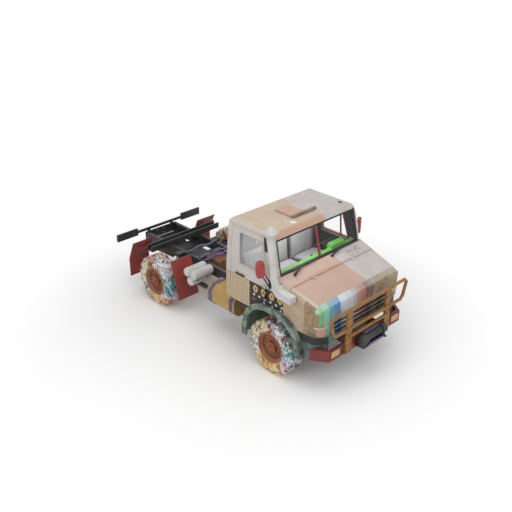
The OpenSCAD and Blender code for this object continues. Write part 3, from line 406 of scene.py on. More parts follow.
# %% [markdown]
# ## Cab paint
# The cab wears a pale cream paint that has clouded, with faint pink patches and a few brown stains.
# The same cream has to run on over several nodes without a break, so it is a function that any finish
# can call: the pattern is read from the place on the truck, and carries on from panel to panel.

# %% Cream paint
DARK_TRIM = (30, 30, 31)


def cream(f):
    """Cream, clouded towards greige, with weak pink patches, sparse brown stains and two rusty runs."""
    x, z = f.along("X"), f.along("Z")
    colour = f.clouds((187, 183, 179), (177, 169, 160), 1.7)
    pink = f.wear(0.48, 0.66, f.grain(2.6, 4.0, offset=(3, 7, 1)))
    colour = f.stain(colour, (206, 178, 160), pink, 0.3)
    spots = f.times(f.wear(0.56, 0.66, f.grain(15, 6.0, 0.7)),
                    f.wear(0.56, 0.64, f.grain(1.9, 2.0, offset=(9, 2, 4))))
    colour = f.stain(colour, (140, 116, 88), spots, 0.55)
    rear_run = f.times(f.between(x, 0.50, 0.60, 0.02), f.between(z, 1.88, 2.22, 0.06))
    pillar_run = f.times(f.between(x, 1.28, 1.46, 0.04), f.between(z, 2.30, 2.47, 0.04))
    drips = f.wear(0.46, 0.6, f.grain(17, 5.0, 0.7, offset=(1, 8, 3)))
    return f.stain(colour, (142, 120, 94), f.times(f.either(rear_run, pillar_run), drips), 0.6)


def cab_paint(f, colour):
    """The finished material: satin, with orange peel and shallow dents."""
    peel = f.plus(f.times(f.grain(160, 2.0), 0.25), f.grain(6, 3.0))
    return f.done(colour, f.rough(f.grain(7, 4.0), 0.45, 0.7), peel, 0.0012, 0.3)


print("cream recipe ready")

# %% [markdown]
# Below the belt line the sides carry a woven beige cloth pattern at the rear and a black panel with
# rows of gold ovals, pale dots and bars in front of it. Both are drawn by arithmetic on the place: the
# fraction left over after dividing by a pitch makes a repeat, and comparing it with a width makes a
# line or a shape.

# %% Side pattern
BELT = 1.583
WEAVE_END, PANEL_END = 1.078, 1.868
WEAVE_PITCH = (0.060, 0.056)


def repeat(f, value, start, pitch):
    """How far a value is from the middle of its repeat, -0.5 to 0.5."""
    return f.less(f.math("FRACT", f.ratio(f.less(value, start), pitch)), 0.5)


def lozenges(f, start, pitch, height, half_w, half_h, roundness):
    """1 inside a row of shapes where (|x|/a)^n + (|z|/b)^n is under one: n = 1 is a lozenge, n = 2
    an oval."""
    across = f.ratio(f.times(repeat(f, f.along("X"), start, pitch), pitch), half_w)
    up = f.ratio(f.less(f.along("Z"), height), half_h)
    across, up = (f.math("POWER", f.size(part), roundness) for part in (across, up))
    return f.outside(f.over(f.plus(across, up), 1.0, 0.08))


def weave(f):
    """Beige cloth: darker threads at the edges of a repeat along X and along Z."""
    threads = (f.over(f.size(repeat(f, f.along(axis), 0.0, pitch)), 0.37, 0.06)
               for axis, pitch in zip("XZ", WEAVE_PITCH))
    cloth = f.blend(f.grain(30, 3.0), (196, 178, 146), (180, 160, 128))
    return f.stain(cloth, (120, 104, 82), f.either(*threads), 0.66)


def black_panel(f):
    """Black with gold ovals that have brown hearts, pale dots, pale bars and one red lozenge."""
    front = f.over(f.along("X"), 1.3)
    rear = f.under(f.along("X"), 1.3)
    gold = f.blend(f.grain(22, 3.0), (196, 166, 104), (176, 142, 84))
    panel = f.blend(lozenges(f, 1.13, 0.19, 1.478, 0.058, 0.074, 1.6), (30, 30, 30), gold)
    panel = f.blend(lozenges(f, 1.13, 0.19, 1.478, 0.022, 0.036, 1.0), panel, (112, 84, 48))
    panel = f.blend(lozenges(f, 1.125, 0.13, 1.362, 0.024, 0.021, 2.0), panel, (200, 200, 197))
    bars = f.times(lozenges(f, 1.15, 0.19, 1.276, 0.019, 0.042, 3.0), front)
    panel = f.blend(bars, panel, (184, 184, 182))
    red = f.times(lozenges(f, 1.08, 0.19, 1.268, 0.048, 0.036, 1.0), rear)
    return f.blend(red, panel, (148, 40, 46))


def side_pattern(f, above):
    """The weave, black panel and tan end below the belt line, on the outer skin only; above it,
    another colour."""
    x, z = f.along("X"), f.along("Z")
    low = f.blend(f.over(x, WEAVE_END), weave(f), black_panel(f))
    tan_end = f.blend(f.grain(8, 4.0), (178, 160, 136), (160, 140, 114))
    low = f.blend(f.over(x, PANEL_END), low, tan_end)
    skin = f.over(f.away(), 1.06)
    colour = f.blend(f.times(skin, f.outside(f.over(z, BELT))), above, low)
    seam = f.between(z, BELT - 0.003, BELT + 0.003)
    return f.stain(colour, (70, 62, 55), f.times(skin, seam), 0.7)


print("weave pitch", WEAVE_PITCH)

# %% [markdown]
# A door is one solid, so its finish also has to tell the painted outside from the black trim inside
# and the black handle that stands proud of the skin. All three are decided by the distance from the
# middle of the truck.

# %% Doors and back wall
def panel_finish(name, inner, trim, door=False):
    """Cream outside with the side pattern, and trim where the inner mask is 1; a door has a black handle."""
    f = Finish(name)
    z = f.along("Z")
    colour = side_pattern(f, cream(f))
    if door:
        grip = f.times(f.over(f.away(), 1.0975), f.between(z, 1.6, 1.632), f.under(f.along("X"), 1.0))
        colour = f.blend(grip, colour, DARK_TRIM)
    colour = f.blend(f.under(z, 1.0565), colour, DARK_TRIM)
    return cab_paint(f, f.blend(inner(f), colour, trim))


def door_inside(f):
    """1 inside a face that leans in by 6 in 100 with the door's upper half."""
    lean = f.times(f.less(f.along("Z"), 1.575), -0.06)
    return f.outside(f.over(f.less(f.away(), lean), 1.048))


def wall_inside(f):
    """1 on the side of the back wall that looks into the cab."""
    return f.times(f.over(f.along("X"), 0.546), f.under(f.away(), 1.0))


dress(panel_finish("door_paint", door_inside, DARK_TRIM, door=True), "door_right", "door_left")
dress(panel_finish("back_wall_paint", wall_inside, (158, 157, 155)), "cab_back_wall")
print("doors and back wall dressed")


# %% Windscreen frame
def screen_frame_finish():
    """Cream pillars with black insides; the header follows the roof's two colours, and the left
    pillar's front is black."""
    f = Finish("screen_frame_paint")
    y, z = f.along("Y"), f.along("Z")
    beige = f.clouds((196, 164, 144), (184, 150, 130), 6, 4.0)
    colour = f.blend(f.times(f.over(z, 2.38), f.under(y, 0.235)), cream(f), beige)
    colour = f.blend(f.times(f.over(y, 0.955), f.under(y, 1.0)), colour, DARK_TRIM)
    back = f.under(f.plus(f.along("X"), f.times(z, 0.235)), 2.098)
    inside = f.times(f.under(f.away(), 1.046), back)
    return cab_paint(f, f.blend(inside, colour, DARK_TRIM))


dress(screen_frame_finish(), "windscreen_frame")
print("windscreen frame dressed")

# %% [markdown]
# ## Roof, bonnet and nose
# The roof and bonnet are pink-beige on the right and go over to grey on the left along a clean edge,
# like two sheets laid side by side. The nose is banded across its face, from green through blue and
# white to rust, plum and tan. A list of starts and tones says it all, and a stepped colour ramp
# turns a distance across the truck into the band.

# %% Bands of the nose
# Each row: where the band starts across the truck, then its tone
NOSE_BANDS = [(-1.10, (106, 172, 112)), (-0.92, (122, 188, 168)), (-0.80, (84, 156, 158)),
              (-0.70, (82, 132, 182)), (-0.53, (192, 206, 214)), (-0.36, (186, 188, 192)),
              (-0.21, (158, 150, 164)), (-0.11, (160, 120, 86)), (-0.01, (152, 74, 48)),
              (0.12, (94, 62, 64)), (0.32, (136, 112, 80)), (0.76, (148, 132, 102))]
NOSE_HALF = 1.1


def nose_bands(f):
    """The bands by distance across the truck, darker low down."""
    rows = [((start + NOSE_HALF) / (2 * NOSE_HALF), colour) for start, colour in NOSE_BANDS]
    colour = f.bands(f.ratio(f.plus(f.along("Y"), NOSE_HALF), 2 * NOSE_HALF), rows)
    colour = f.stain(colour, (210, 204, 196), f.wear(0.35, 0.7, f.grain(9, 4.0)), 0.25)
    return f.stain(colour, (44, 56, 58), f.outside(f.over(f.along("Z"), 1.26, 0.24)), 0.6)


def two_tans(f):
    """The sides of the nose: two tans that meet at an upright line."""
    rear = f.clouds((178, 160, 136), (164, 144, 118), 7)
    front = f.clouds((158, 134, 104), (128, 106, 80), 13, 5.0, 0.65, (0.35, 0.62))
    return f.blend(f.over(f.along("X"), 2.298), rear, front)


def nose_finish():
    """Bands on the face, two tans on the sides, painted shade in the lower front corner under the lamp, and
    black inside.
    """
    f = Finish("nose_paint")
    x = f.along("X")
    # Painted shade low in the front corner of the sides, under the lamp.
    corner = f.times(f.over(x, 2.40, 0.03), f.outside(f.over(f.along("Z"), 1.17, 0.05)))
    colour = f.stain(two_tans(f), (62, 74, 64), corner, 0.7)
    face = f.times(f.over(x, 2.452, 0.003), f.over(f.along("Y"), -1.02))
    colour = f.blend(face, colour, nose_bands(f))
    inside = f.times(f.under(x, 2.588), f.under(f.away(), 0.8))
    return cab_paint(f, f.blend(inside, colour, DARK_TRIM))


dress(nose_finish(), "nose")
print("nose bands", len(NOSE_BANDS))


# %% Bonnet and cowl
def two_sheets(f):
    """Pink-beige to the right of an edge and grey to its left, each with its own clouds."""
    beige = f.clouds((187, 160, 145), (178, 149, 133), 2.2)
    beige = f.stain(beige, (150, 118, 100), f.wear(0.66, 0.72, f.grain(34, 3.0)), 0.25)
    grey = f.clouds((188, 183, 179), (178, 171, 164), 3.1, spread=(0.35, 0.7))
    return f.blend(f.over(f.along("Y"), 0.24, 0.004), beige, grey)


def front_top(f):
    """Two sheets with a patch of fine dry-grass lines and painted shade along a soft crease."""
    x, y = f.along("X"), f.along("Y")
    grass = f.times(f.wear(0.48, 0.56, f.grain(26, 5.0, 0.72)), f.between(y, 0.5, 0.86, 0.08),
                    f.between(x, 1.76, 1.94, 0.05))
    colour = f.stain(two_sheets(f), (122, 110, 94), grass, 0.9)
    # Painted shade along the soft crease just behind the bonnet's rear edge.
    crease = f.times(f.between(x, 1.945, 1.985, 0.03), f.between(y, -0.72, 0.42, 0.2),
                     f.wear(0.2, 0.6, f.grain(6, 3.0)))
    return f.stain(colour, (134, 108, 92), crease, 0.35)


def bonnet_finish():
    """Sheets on top, a pale strip down each slanted edge, tan sides and paler bands on the front slope."""
    f = Finish("bonnet_paint")
    x = f.along("X")
    narrowing = f.times(f.either(f.less(x, 1.993), 0.0), 0.083)
    past_edge = f.less(f.away(), f.less(1.006, narrowing))
    side = f.blend(f.over(past_edge, 0.040, 0.003), (188, 178, 164), two_tans(f))
    colour = f.blend(f.over(past_edge, 0.0, 0.003), front_top(f), side)
    paler = f.less(0.2, f.times(f.over(x, 2.578, 0.004), 0.2))
    slope = f.blend(paler, nose_bands(f), (226, 224, 220))
    return cab_paint(f, f.blend(f.over(x, 2.508, 0.002), colour, slope))


def cowl_finish():
    """Sheets on top, cream at the sides, the side pattern low down and black inside."""
    f = Finish("cowl_paint")
    x, away, high = f.along("X"), f.away(), f.over(f.along("Z"), 1.60, 0.004)
    colour = f.blend(f.times(f.over(away, 1.07), high), front_top(f), cream(f))
    colour = f.blend(f.outside(high), colour, side_pattern(f, cream(f)))
    return cab_paint(f, f.blend(f.times(f.under(x, 1.70), f.under(away, 1.04)), colour, DARK_TRIM))


dress(bonnet_finish(), "bonnet")
dress(cowl_finish(), "cowl")
print("bonnet and cowl dressed")


# %% Roof and hatch
ROOF_TOP = 2.526


def roof_grey(f):
    """The grey sheet of the roof, clouded."""
    return f.clouds((188, 183, 179), (179, 172, 165), 3.1, spread=(0.35, 0.7))


def roof_mark(f, x, y, radius):
    """1 on a round mark on the roof."""
    distance = f.put("VectorMath", {0: f.place(), 1: (x, y, ROOF_TOP)}, "Value", operation="DISTANCE")
    return f.outside(f.over(distance, radius, 0.012))


def roof_finish():
    """Peach-beige with soft streaks, pink along the front edge, grey to the left, one white and one
    black mark."""
    f = Finish("roof_paint")
    x = f.along("X")
    peach = f.clouds((192, 177, 159), (182, 164, 144), 3.0, spread=(0.32, 0.68), stretch=(1, 2.2, 1))
    streak = f.wear(0.56, 0.66, f.grain(5.0, 4.0, stretch=(0.6, 2.6, 1), offset=(5, 1, 0)))
    peach = f.stain(peach, (194, 158, 141), streak, 0.6)
    front_edge = f.plus(f.over(x, 1.44, 0.05), f.times(f.grain(6, 3.0), 0.1))
    peach = f.stain(peach, (184, 144, 123), front_edge, 0.8)
    colour = f.blend(f.over(f.along("Y"), 0.235, 0.004), peach, roof_grey(f))
    colour = f.blend(f.over(f.away(), 0.962, 0.004), colour, cream(f))
    colour = f.stain(colour, (226, 226, 222), roof_mark(f, 1.363, -0.363, 0.055), 0.8)
    colour = f.blend(roof_mark(f, 1.343, 0.868, 0.042), colour, (48, 42, 40))
    lining = f.times(f.under(f.along("Z"), 2.4715), f.under(f.away(), 0.955), f.between(x, 0.552, 1.475))
    return cab_paint(f, f.blend(lining, colour, (176, 174, 170)))


def hatch_finish():
    """Pink-beige lid, grey to the left, with a worn brown lip along its front edge."""
    f = Finish("hatch_paint")
    pink = f.clouds((192, 158, 142), (180, 145, 129), 5)
    colour = f.blend(f.over(f.along("Y"), 0.07, 0.004), pink, roof_grey(f))
    lip = f.times(f.over(f.along("X"), 1.222), f.wear(0.2, 0.45, f.grain(7, 3.0)))
    brown = f.clouds((128, 108, 82), (112, 66, 54), 4, 2.0, spread=(0.45, 0.55))
    return cab_paint(f, f.stain(colour, brown, lip, 0.8))


dress(roof_finish(), "cab_roof")
dress(hatch_finish(), "roof_hatch")
print("roof and hatch dressed")

# %% [markdown]
# ## Wheels
# The tyres are covered in a paper collage: white and grey scraps, then gold, peach, mauve, teal, rust
# and olive ones, with dark strokes among them. Voronoi cells give scraps with straight edges; the
# angle round the wheel, made ragged by a slow noise, decides which family of colours a scrap takes,
# and a random number in each cell picks the tone. The rims are rust red, lighter on the flange, darker
# and blotched on the dished disc.

# %% Tyres
# Each row: where a sector starts round the wheel, 0 to 1, then its light, middle and dark tone
SECTORS = [(0.00, (206, 204, 203), (168, 166, 172), (58, 58, 64)),
           (0.14, (212, 186, 128), (196, 152, 66), (120, 84, 52)),
           (0.25, (212, 192, 164), (200, 158, 114), (146, 100, 72)),
           (0.38, (202, 194, 202), (170, 144, 166), (94, 66, 90)),
           (0.50, (112, 166, 162), (72, 136, 136), (44, 72, 80)),
           (0.58, (208, 206, 204), (164, 164, 170), (50, 50, 56)),
           (0.75, (184, 134, 108), (140, 82, 62), (84, 48, 42)),
           (0.86, (198, 194, 166), (168, 162, 126), (98, 94, 68))]
AXLE_X, AXLE_Z = 1.625, 0.51
WHEELS = [f"{end}_{side}" for end in ("front", "rear") for side in ("right", "left")]
SCRAPS, SMALL_SCRAPS = 13, 27


def tyre_finish():
    """Scraps whose family of tones goes by the angle round the wheel; a random number in each scrap
    picks light, middle or dark."""
    f = Finish("collage_rubber", 0.75)
    x = f.along("X")
    fore = f.less(x, f.times(f.math("SIGN", x), AXLE_X))
    angle = f.ratio(f.math("ARCTAN2", f.less(f.along("Z"), AXLE_Z), fore), 2 * np.pi)
    ragged = f.times(f.less(f.grain(5, 4.0, 0.7), 0.5), 0.9)
    turn = f.math("FRACT", f.plus(f.plus(angle, 0.5), ragged))
    light, middle, dark = (f.bands(turn, [(row[0], row[tint]) for row in SECTORS]) for tint in (1, 2, 3))
    pick = f.put("SeparateColor", {0: f.patches(SCRAPS, stretch=(1, 0.7, 1))}, 0)
    fine = f.put("SeparateColor", {0: f.patches(SMALL_SCRAPS, stretch=(1, 1, 0.6))}, 1)
    colour = f.blend(f.over(f.plus(f.times(pick, 0.6), f.times(fine, 0.4)), 0.52, 0.02), light, middle)
    strokes = f.times(f.grain(15, 3.0, 0.6, offset=(4, 4, 9)), 0.8)
    colour = f.stain(colour, dark, f.over(f.plus(f.times(fine, 0.5), strokes), 0.81, 0.03), 0.85)
    edges = f.patches(SCRAPS, "Distance", (1, 0.7, 1), "DISTANCE_TO_EDGE")
    height = f.plus(f.wear(0.0, 0.08, edges), f.times(f.grain(90, 3.0), 0.3))
    return f.done(colour, f.rough(f.grain(20), 0.6, 0.9), height, 0.004, 0.5)


dress(tyre_finish(), *[f"tyre_{wheel}" for wheel in WHEELS])
print("tyre sectors", len(SECTORS))


# %% Rims
def rim_finish():
    """Rust red by distance from the axle: blotched disc, painted shade in the dish's step, lighter flange
    with two fine lines.
    """
    f = Finish("rust_red_rim", 0.6)
    fore = f.less(f.size(f.along("X")), AXLE_X)
    up = f.less(f.along("Z"), AXLE_Z)
    radius = f.math("SQRT", f.plus(f.times(fore, fore), f.times(up, up)))
    disc = f.clouds((108, 60, 36), (146, 84, 52), 15, 3.0, spread=(0.42, 0.6))
    flange = f.clouds((154, 102, 76), (126, 78, 54), 9)
    lines = f.plus(f.between(radius, 0.241, 0.246, 0.003), f.between(radius, 0.262, 0.266, 0.003))
    flange = f.stain(flange, (92, 54, 38), lines, 0.5)
    colour = f.blend(f.over(radius, 0.222, 0.004), disc, flange)
    # Painted shade in the step where the disc drops into the dish.
    colour = f.stain(colour, (58, 34, 26), f.between(radius, 0.203, 0.222, 0.004), 0.6)
    colour = f.stain(colour, (70, 42, 32), f.wear(0.62, 0.72, f.grain(70, 4.0, 0.65)), 0.4)
    return f.done(colour, f.rough(f.grain(30), 0.45, 0.75), f.grain(60, 4.0), 0.002, 0.4)


dress(rim_finish(), *[f"rim_{wheel}" for wheel in WHEELS])
print("tyres and rims dressed on", WHEELS)

# %% [markdown]
# ## Glass and lenses
# The windows are so clean that they hardly show, so the glass is mostly transparent with a hard
# reflection. Lenses are moulded with fine upright ribs, which a sine wave in the bump gives.

# %% Glass and lenses
LENS_RIBS = 420.0


def window_glass(name, cover):
    """Glass that hides a share of what lies behind it, with a faint cloud in its tint."""
    f = Finish(name, 0.04)
    f.shader.inputs["Alpha"].default_value = cover
    return f.done(f.blend(f.grain(3, 2.0), (210, 211, 213), (196, 197, 200)))


def lens(name, colour, deep, corner=None):
    """A ribbed lens: tone varies with a wave across it, and the wave is also its bump. Behind the
    plane that parts off the corner lamps another tone takes over, with a paler one above a height."""
    f = Finish(name, 0.22)
    wave = f.plus(f.times(f.math("SINE", f.times(f.along("Y"), LENS_RIBS)), 0.5), 0.5)
    base = f.blend(wave, colour, deep)
    if corner is not None:
        plane, low_tone, height, high_tone = corner
        base = f.blend(f.under(f.along("X"), plane), base,
                       f.blend(f.over(f.along("Z"), height), low_tone, high_tone))
    f.shader.inputs["Coat Weight"].default_value = 0.4
    return f.done(base, f.rough(f.grain(40), 0.15, 0.35), wave, 0.002, 0.4)


dress(window_glass("clear_glass", 0.03), "cab_glass", "door_glass_left")
dress(window_glass("hazy_glass", 0.22), "door_glass_right")
dress(lens("amber_lens", (200, 152, 88), (176, 124, 66),
           (2.69, (176, 134, 112), 1.252, (206, 172, 146))), "front_lamps")
dress(lens("red_lens", (150, 32, 28), (112, 20, 18)), "rear_lamps")
print("glass and lenses dressed")

# %% [markdown]
# ## Tools for new pieces
# The pieces that follow are surfaces worked out as arrays of points. A few tools cover them all: a grid
# of faces over rows of points, a ring of points carried along a path, an outline turned about an axis
# and an outline raised to a prism. A small maker puts the points into a mesh, closes seams and poles by
# merging doubles, turns the faces outwards and hangs the piece on the body that carries it.

# %% Making a mesh from arrays
def grid_faces(rows, cols, wrap_rows=False, wrap_cols=False):
    """Corner numbers of the four-sided faces over a grid of points; a wrapped side joins its last line
    to its first."""
    a, b = np.meshgrid(np.arange(rows - (not wrap_rows)), np.arange(cols - (not wrap_cols)), indexing="ij")
    a2, b2 = (a + 1) % rows, (b + 1) % cols
    return np.stack([a * cols + b, a2 * cols + b, a2 * cols + b2, a * cols + b2], -1).reshape(-1, 4)


def joined(*shapes):
    """Several (points, faces) shapes as one, each set of face corners moved on by the points before it."""
    starts = np.cumsum([0] + [len(points) for points, _ in shapes[:-1]])
    faces = [faces + start for (_, faces), start in zip(shapes, starts)]
    return np.concatenate([points for points, _ in shapes]), np.concatenate(faces)


def copies(shape, places):
    """One shape at many places: every place is added to every point."""
    points, faces = shape
    places = np.asarray(places, float)
    step = np.arange(len(places))[:, None, None] * len(points)
    return (places[:, None] + points[None]).reshape(-1, 3), (faces[None] + step).reshape(-1, faces.shape[1])


def mirrored(shape):
    """A shape and its mirror image across the middle of the truck."""
    points, faces = shape
    return joined(shape, (points * (1, -1, 1), faces))


def make_piece(name, shape, finish, body, stands_for=(), smooth=True):
    """A mesh from arrays, with doubles merged and faces outwards, riding on a body."""
    points, faces = shape
    mesh = bpy.data.meshes.new(name)
    mesh.from_pydata(points.tolist(), [], faces.tolist())
    work = bmesh.new()
    work.from_mesh(mesh)
    bmesh.ops.remove_doubles(work, verts=work.verts, dist=2e-6)
    bmesh.ops.dissolve_degenerate(work, edges=work.edges, dist=1e-6)
    bmesh.ops.recalc_face_normals(work, faces=work.faces)
    work.to_mesh(mesh)
    work.free()
    mesh.polygons.foreach_set("use_smooth", np.full(len(mesh.polygons), smooth))
    mesh.materials.append(finish)
    piece = bpy.data.objects.new(name, mesh)
    bpy.context.scene.collection.objects.link(piece)
    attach(piece, body)
    if stands_for:
        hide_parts(*stands_for)
    print(name, len(mesh.polygons), "faces on", body)
    return piece


print("a closed ring of 3 by 4 points has", len(grid_faces(3, 4, True, True)), "faces")


# %% Tubes and turned shapes
X_AXIS, Y_AXIS, Z_AXIS = (1, 0, 0), (0, 1, 0), (0, 0, 1)
ORIGIN = (0, 0, 0)


def unit(v):
    """Vectors made one long."""
    return v / np.maximum(np.linalg.norm(v, axis=-1, keepdims=True), 1e-12)


def circle(sides):
    """Angles of a full turn in equal steps, without the last."""
    return np.arange(sides) * 2 * np.pi / sides


def tube(path, radius, sides=10, aside=Z_AXIS, closed=False):
    """A ring carried along a path: point + radius (cos t side + sin t other), side and other square to
    the path; open ends close to a point."""
    path = np.asarray(path, float)
    radius = np.broadcast_to(np.asarray(radius, float), len(path))
    if closed:
        along = unit(np.roll(path, -1, 0) - np.roll(path, 1, 0))
    else:
        along = unit(np.gradient(path, axis=0))
        path, along = path[np.r_[0, 0:len(path), -1]], along[np.r_[0, 0:len(along), -1]]
        radius = np.r_[0, radius, 0]
    side = unit(np.cross(along, aside))
    other = np.cross(along, side)
    t = circle(sides)
    ring = side[:, None] * np.cos(t)[None, :, None] + other[:, None] * np.sin(t)[None, :, None]
    points = path[:, None] + radius[:, None, None] * ring
    return points.reshape(-1, 3), grid_faces(len(path), sides, closed, True)


def hoop(path, radius, sides=8, aside=X_AXIS):
    """A tube along a path that ends where it starts."""
    return tube(path, radius, sides, aside, closed=True)


def turned(profile, centre, axis, sides=24):
    """An outline of (distance along, radius) rows turned about an axis through a centre; one off the
    axis closes to a ring."""
    profile, axis = np.asarray(profile, float), unit(np.asarray(axis, float))
    side = unit(np.cross(axis, (0.31, 0.17, 0.94)))
    other = np.cross(axis, side)
    t = circle(sides)
    ring = side * np.cos(t)[:, None] + other * np.sin(t)[:, None]
    points = np.asarray(centre, float) + profile[:, None, :1] * axis + profile[:, None, 1:] * ring[None]
    return points.reshape(-1, 3), grid_faces(len(profile), sides, profile[[0, -1], 1].min() > 0, True)


print("a turned cone has", len(turned([(0, 0), (0, 1), (1, 0)], ORIGIN, Z_AXIS)[1]), "faces before merging")


# %% Plates and prisms
def plate(centre, across, up, out, rounding=6.0, steps=40, crown=0.0):
    """A rounded plate: rings of |u|^n + |v|^n = share, raised by the plate's thickness, with a slight
    crown in the middle."""
    centre, across, up, out = (np.asarray(v, float) for v in (centre, across, up, out))
    c, s = np.cos(circle(steps)), np.sin(circle(steps))
    shape = np.stack([np.sign(part) * np.abs(part) ** (2 / rounding) for part in (c, s)], -1)
    share = np.array([0.0, 1.0, 1.0, 0.985, 0.6, 0.0])
    rise = np.array([0.0, 0.0, 0.75, 1.0, 1.0 + 0.64 * crown, 1.0 + crown])
    flat = shape[None] * share[:, None, None]
    points = centre + flat[..., :1] * across + flat[..., 1:] * up + rise[:, None, None] * out
    return points.reshape(-1, 3), grid_faces(len(share), steps, False, True)


def stood(outline, axis, level):
    """A flat outline in space: one axis (0, 1 or 2) takes the level, the others the outline's coordinates."""
    return np.insert(np.asarray(outline, float), axis, level, axis=1)


def prism(outline, low, high, axis=2):
    """A flat outline raised from one level to another: rings at its middle, low edge, high edge and
    middle."""
    outline = np.asarray(outline, float)
    heart = np.broadcast_to(outline.mean(0), outline.shape)
    rings = [stood(heart, axis, low), stood(outline, axis, low),
             stood(outline, axis, high), stood(heart, axis, high)]
    return np.concatenate(rings), grid_faces(len(rings), len(outline), False, True)


def slab(x, y, z):
    """A box between two values on each axis."""
    return prism([(x[0], y[0]), (x[1], y[0]), (x[1], y[1]), (x[0], y[1])], *z)


def rounded_loop(corners, radius, per_corner=7):
    """A closed outline with each corner replaced by a curve from radius before it to radius after it:
    (1-t)^2 a + 2t(1-t) c + t^2 b."""
    corners = np.asarray(corners, float)
    before = corners + radius * unit(np.roll(corners, 1, 0) - corners)
    after = corners + radius * unit(np.roll(corners, -1, 0) - corners)
    t = np.linspace(0, 1, per_corner)[None, :, None]
    curve = (1 - t) ** 2 * before[:, None] + 2 * t * (1 - t) * corners[:, None] + t ** 2 * after[:, None]
    return curve.reshape(-1, corners.shape[1])


def rounded_box(low, high, radius):
    """The rounded outline of an upright rectangle between two corners."""
    return rounded_loop([low, (high[0], low[1]), high, (low[0], high[1])], radius)


print("tools ready")

# %% [markdown]
# ## Seats
# The seats are plain vinyl pads: a driver's seat and a wide bench, each a cushion and a back. A pad is
# two crowned sheets that share one edge. The height follows ((1 - u^2)(1 - v^2)) to a small power, which
# rises fast at the edge and is nearly level in the middle; grooves are sewn into it, and the sides pull
# in between the corners as stuffed fabric does. The under sheet is flatter, because it rests on
# something. A simulated pad would swell much the same at this size, so the sheets are sculpted directly.

# %% Padded sheets
SIDE_PULL, GROOVE_DEPTH = 0.035, 0.2


def pulled_in(centre, across, up, u, v):
    """A flat sheet centre + u across + v up whose edges pull in between the corners."""
    centre, across, up = (np.asarray(side, float) for side in (centre, across, up))
    return centre + u * (1 - SIDE_PULL * (1 - v ** 2)) * across + v * (1 - SIDE_PULL * (1 - u ** 2)) * up


def pad(centre, across, up, out, thick, grooves, rows=54, cols=72):
    """Two sheets with height = thick ((1-u^2)(1-v^2))^0.22 less the grooves along their out direction."""
    out = np.asarray(out, float)
    u = np.sin(np.linspace(-1, 1, cols) * np.pi / 2)[None, :, None]
    v = np.sin(np.linspace(-1, 1, rows) * np.pi / 2)[:, None, None]
    swell = np.maximum((1 - u ** 2) * (1 - v ** 2), 0.0)
    sewn = 1 - GROOVE_DEPTH * sum(np.exp(-((u - g) / 0.022) ** 2) for g in grooves)
    border = np.exp(-((np.maximum(np.abs(u), np.abs(v)) - 0.86) / 0.02) ** 2)
    sewn = sewn - 0.5 * GROOVE_DEPTH * border
    wrinkle = 0.012 * np.sin(9 * u + 4 * v) * np.sin(7 * v - 3 * u) * swell
    flat = pulled_in(centre, across, up, u, v)
    upper = flat + out * thick[0] * (swell ** 0.22 * sewn + wrinkle)
    under = flat - out * thick[1] * swell ** 0.12
    faces = grid_faces(rows, cols)
    return joined((upper.reshape(-1, 3), faces), (under.reshape(-1, 3), faces))


def piping(centre, across, up, radius=0.006, steps=160):
    """A thin welt round a pad's edge: the four sides of the pulled-in square as one closed path."""
    t = np.linspace(0, 4, steps, endpoint=False)
    side, s = np.floor(t), (t % 1) * 2 - 1
    one, sides = np.ones_like(s), [side == 0, side == 1, side == 2]
    u = np.select(sides, [s, one, -s], -one)[:, None] * 0.995
    v = np.select(sides, [-one, s, one], -s)[:, None] * 0.995
    return hoop(pulled_in(centre, across, up, u, v), radius, 8, np.cross(across, up))


def vinyl():
    """Pale grey vinyl: fine pebble grain, slightly darker towards the edges of each pebble."""
    f = Finish("pale_grey_vinyl", 0.5)
    colour = f.clouds((192, 189, 192), (175, 172, 176), 4, 4.0, spread=(0.35, 0.7))
    pebble = f.patches(420, "Distance")
    colour = f.stain(colour, (130, 130, 132), f.wear(0.3, 0.8, pebble), 0.12)
    height = f.plus(pebble, f.times(f.grain(14, 3.0), 0.6))
    return f.done(colour, f.rough(f.grain(12), 0.42, 0.62), height, 0.0015, 0.35)


print("sides pull in by", SIDE_PULL, "and grooves go down by", GROOVE_DEPTH, "of the height")

# %% Cushions and backs
# Each row: the seat's middle across the truck, its half width, and where its grooves are sewn
SEATS = {"driver": (0.585, 0.288, (-0.5, 0.5)),
         "bench": (-0.3425, 0.550, (-0.667, -0.333, 0.02, 0.333, 0.667))}
BACK_UP, BACK_OUT = np.array([-0.0225, 0, 0.248]), unit(np.array([0.248, 0, 0.0225]))
seat_vinyl = vinyl()
welt_vinyl = weathered("welt_vinyl", (150, 150, 152), (132, 132, 134), (0.45, 0.6), 20.0)
welts = []
for seat, (middle, half, grooves) in SEATS.items():
    cushion = ((1.0115, middle, 1.405), (0, half, 0), (0.222, 0, 0))
    back = ((0.6935, middle, 1.6115), (0, half, 0), BACK_UP)
    for part, sheet, out, thick in (("cushion", cushion, Z_AXIS, (0.088, 0.044)),
                                    ("back", back, BACK_OUT, (0.070, 0.060))):
        make_piece(f"{seat}_{part}_pad", pad(*sheet, out, thick, grooves), seat_vinyl, "chassis",
                             [f"{seat}_{part}"])
        welts.append(piping(*sheet))
make_piece("seat_welts", joined(*welts), welt_vinyl, "chassis")

# %% [markdown]
# ## Springs and pipes
# A coil spring is a helix: the ring of the wire carried round a circle while it climbs, with the last
# turn at each end lying flat. The pipes behind the cab wander slightly from side to side and over
# the rails, so each is a tube along a gently wavy path.

# %% Coil springs
SPRING_FOOT, SPRING_TOP = 0.722, 0.905
SPRING_PLACES = [(x, y, 0) for x in (-AXLE_X, AXLE_X) for y in (-0.5, 0.5)]


def coil(foot, top, radius, wire, turns, steps=150):
    """A helix whose climb eases off over the first and last turn: height share s - sin(2 pi s) / 9."""
    s = np.linspace(0, 1, steps)
    climb = s - np.sin(2 * np.pi * s) / 9
    angle = 2 * np.pi * turns * s
    height = wire + foot + (top - foot - 2 * wire) * climb
    return tube(np.stack([radius * np.cos(angle), radius * np.sin(angle), height], -1), wire, 10)


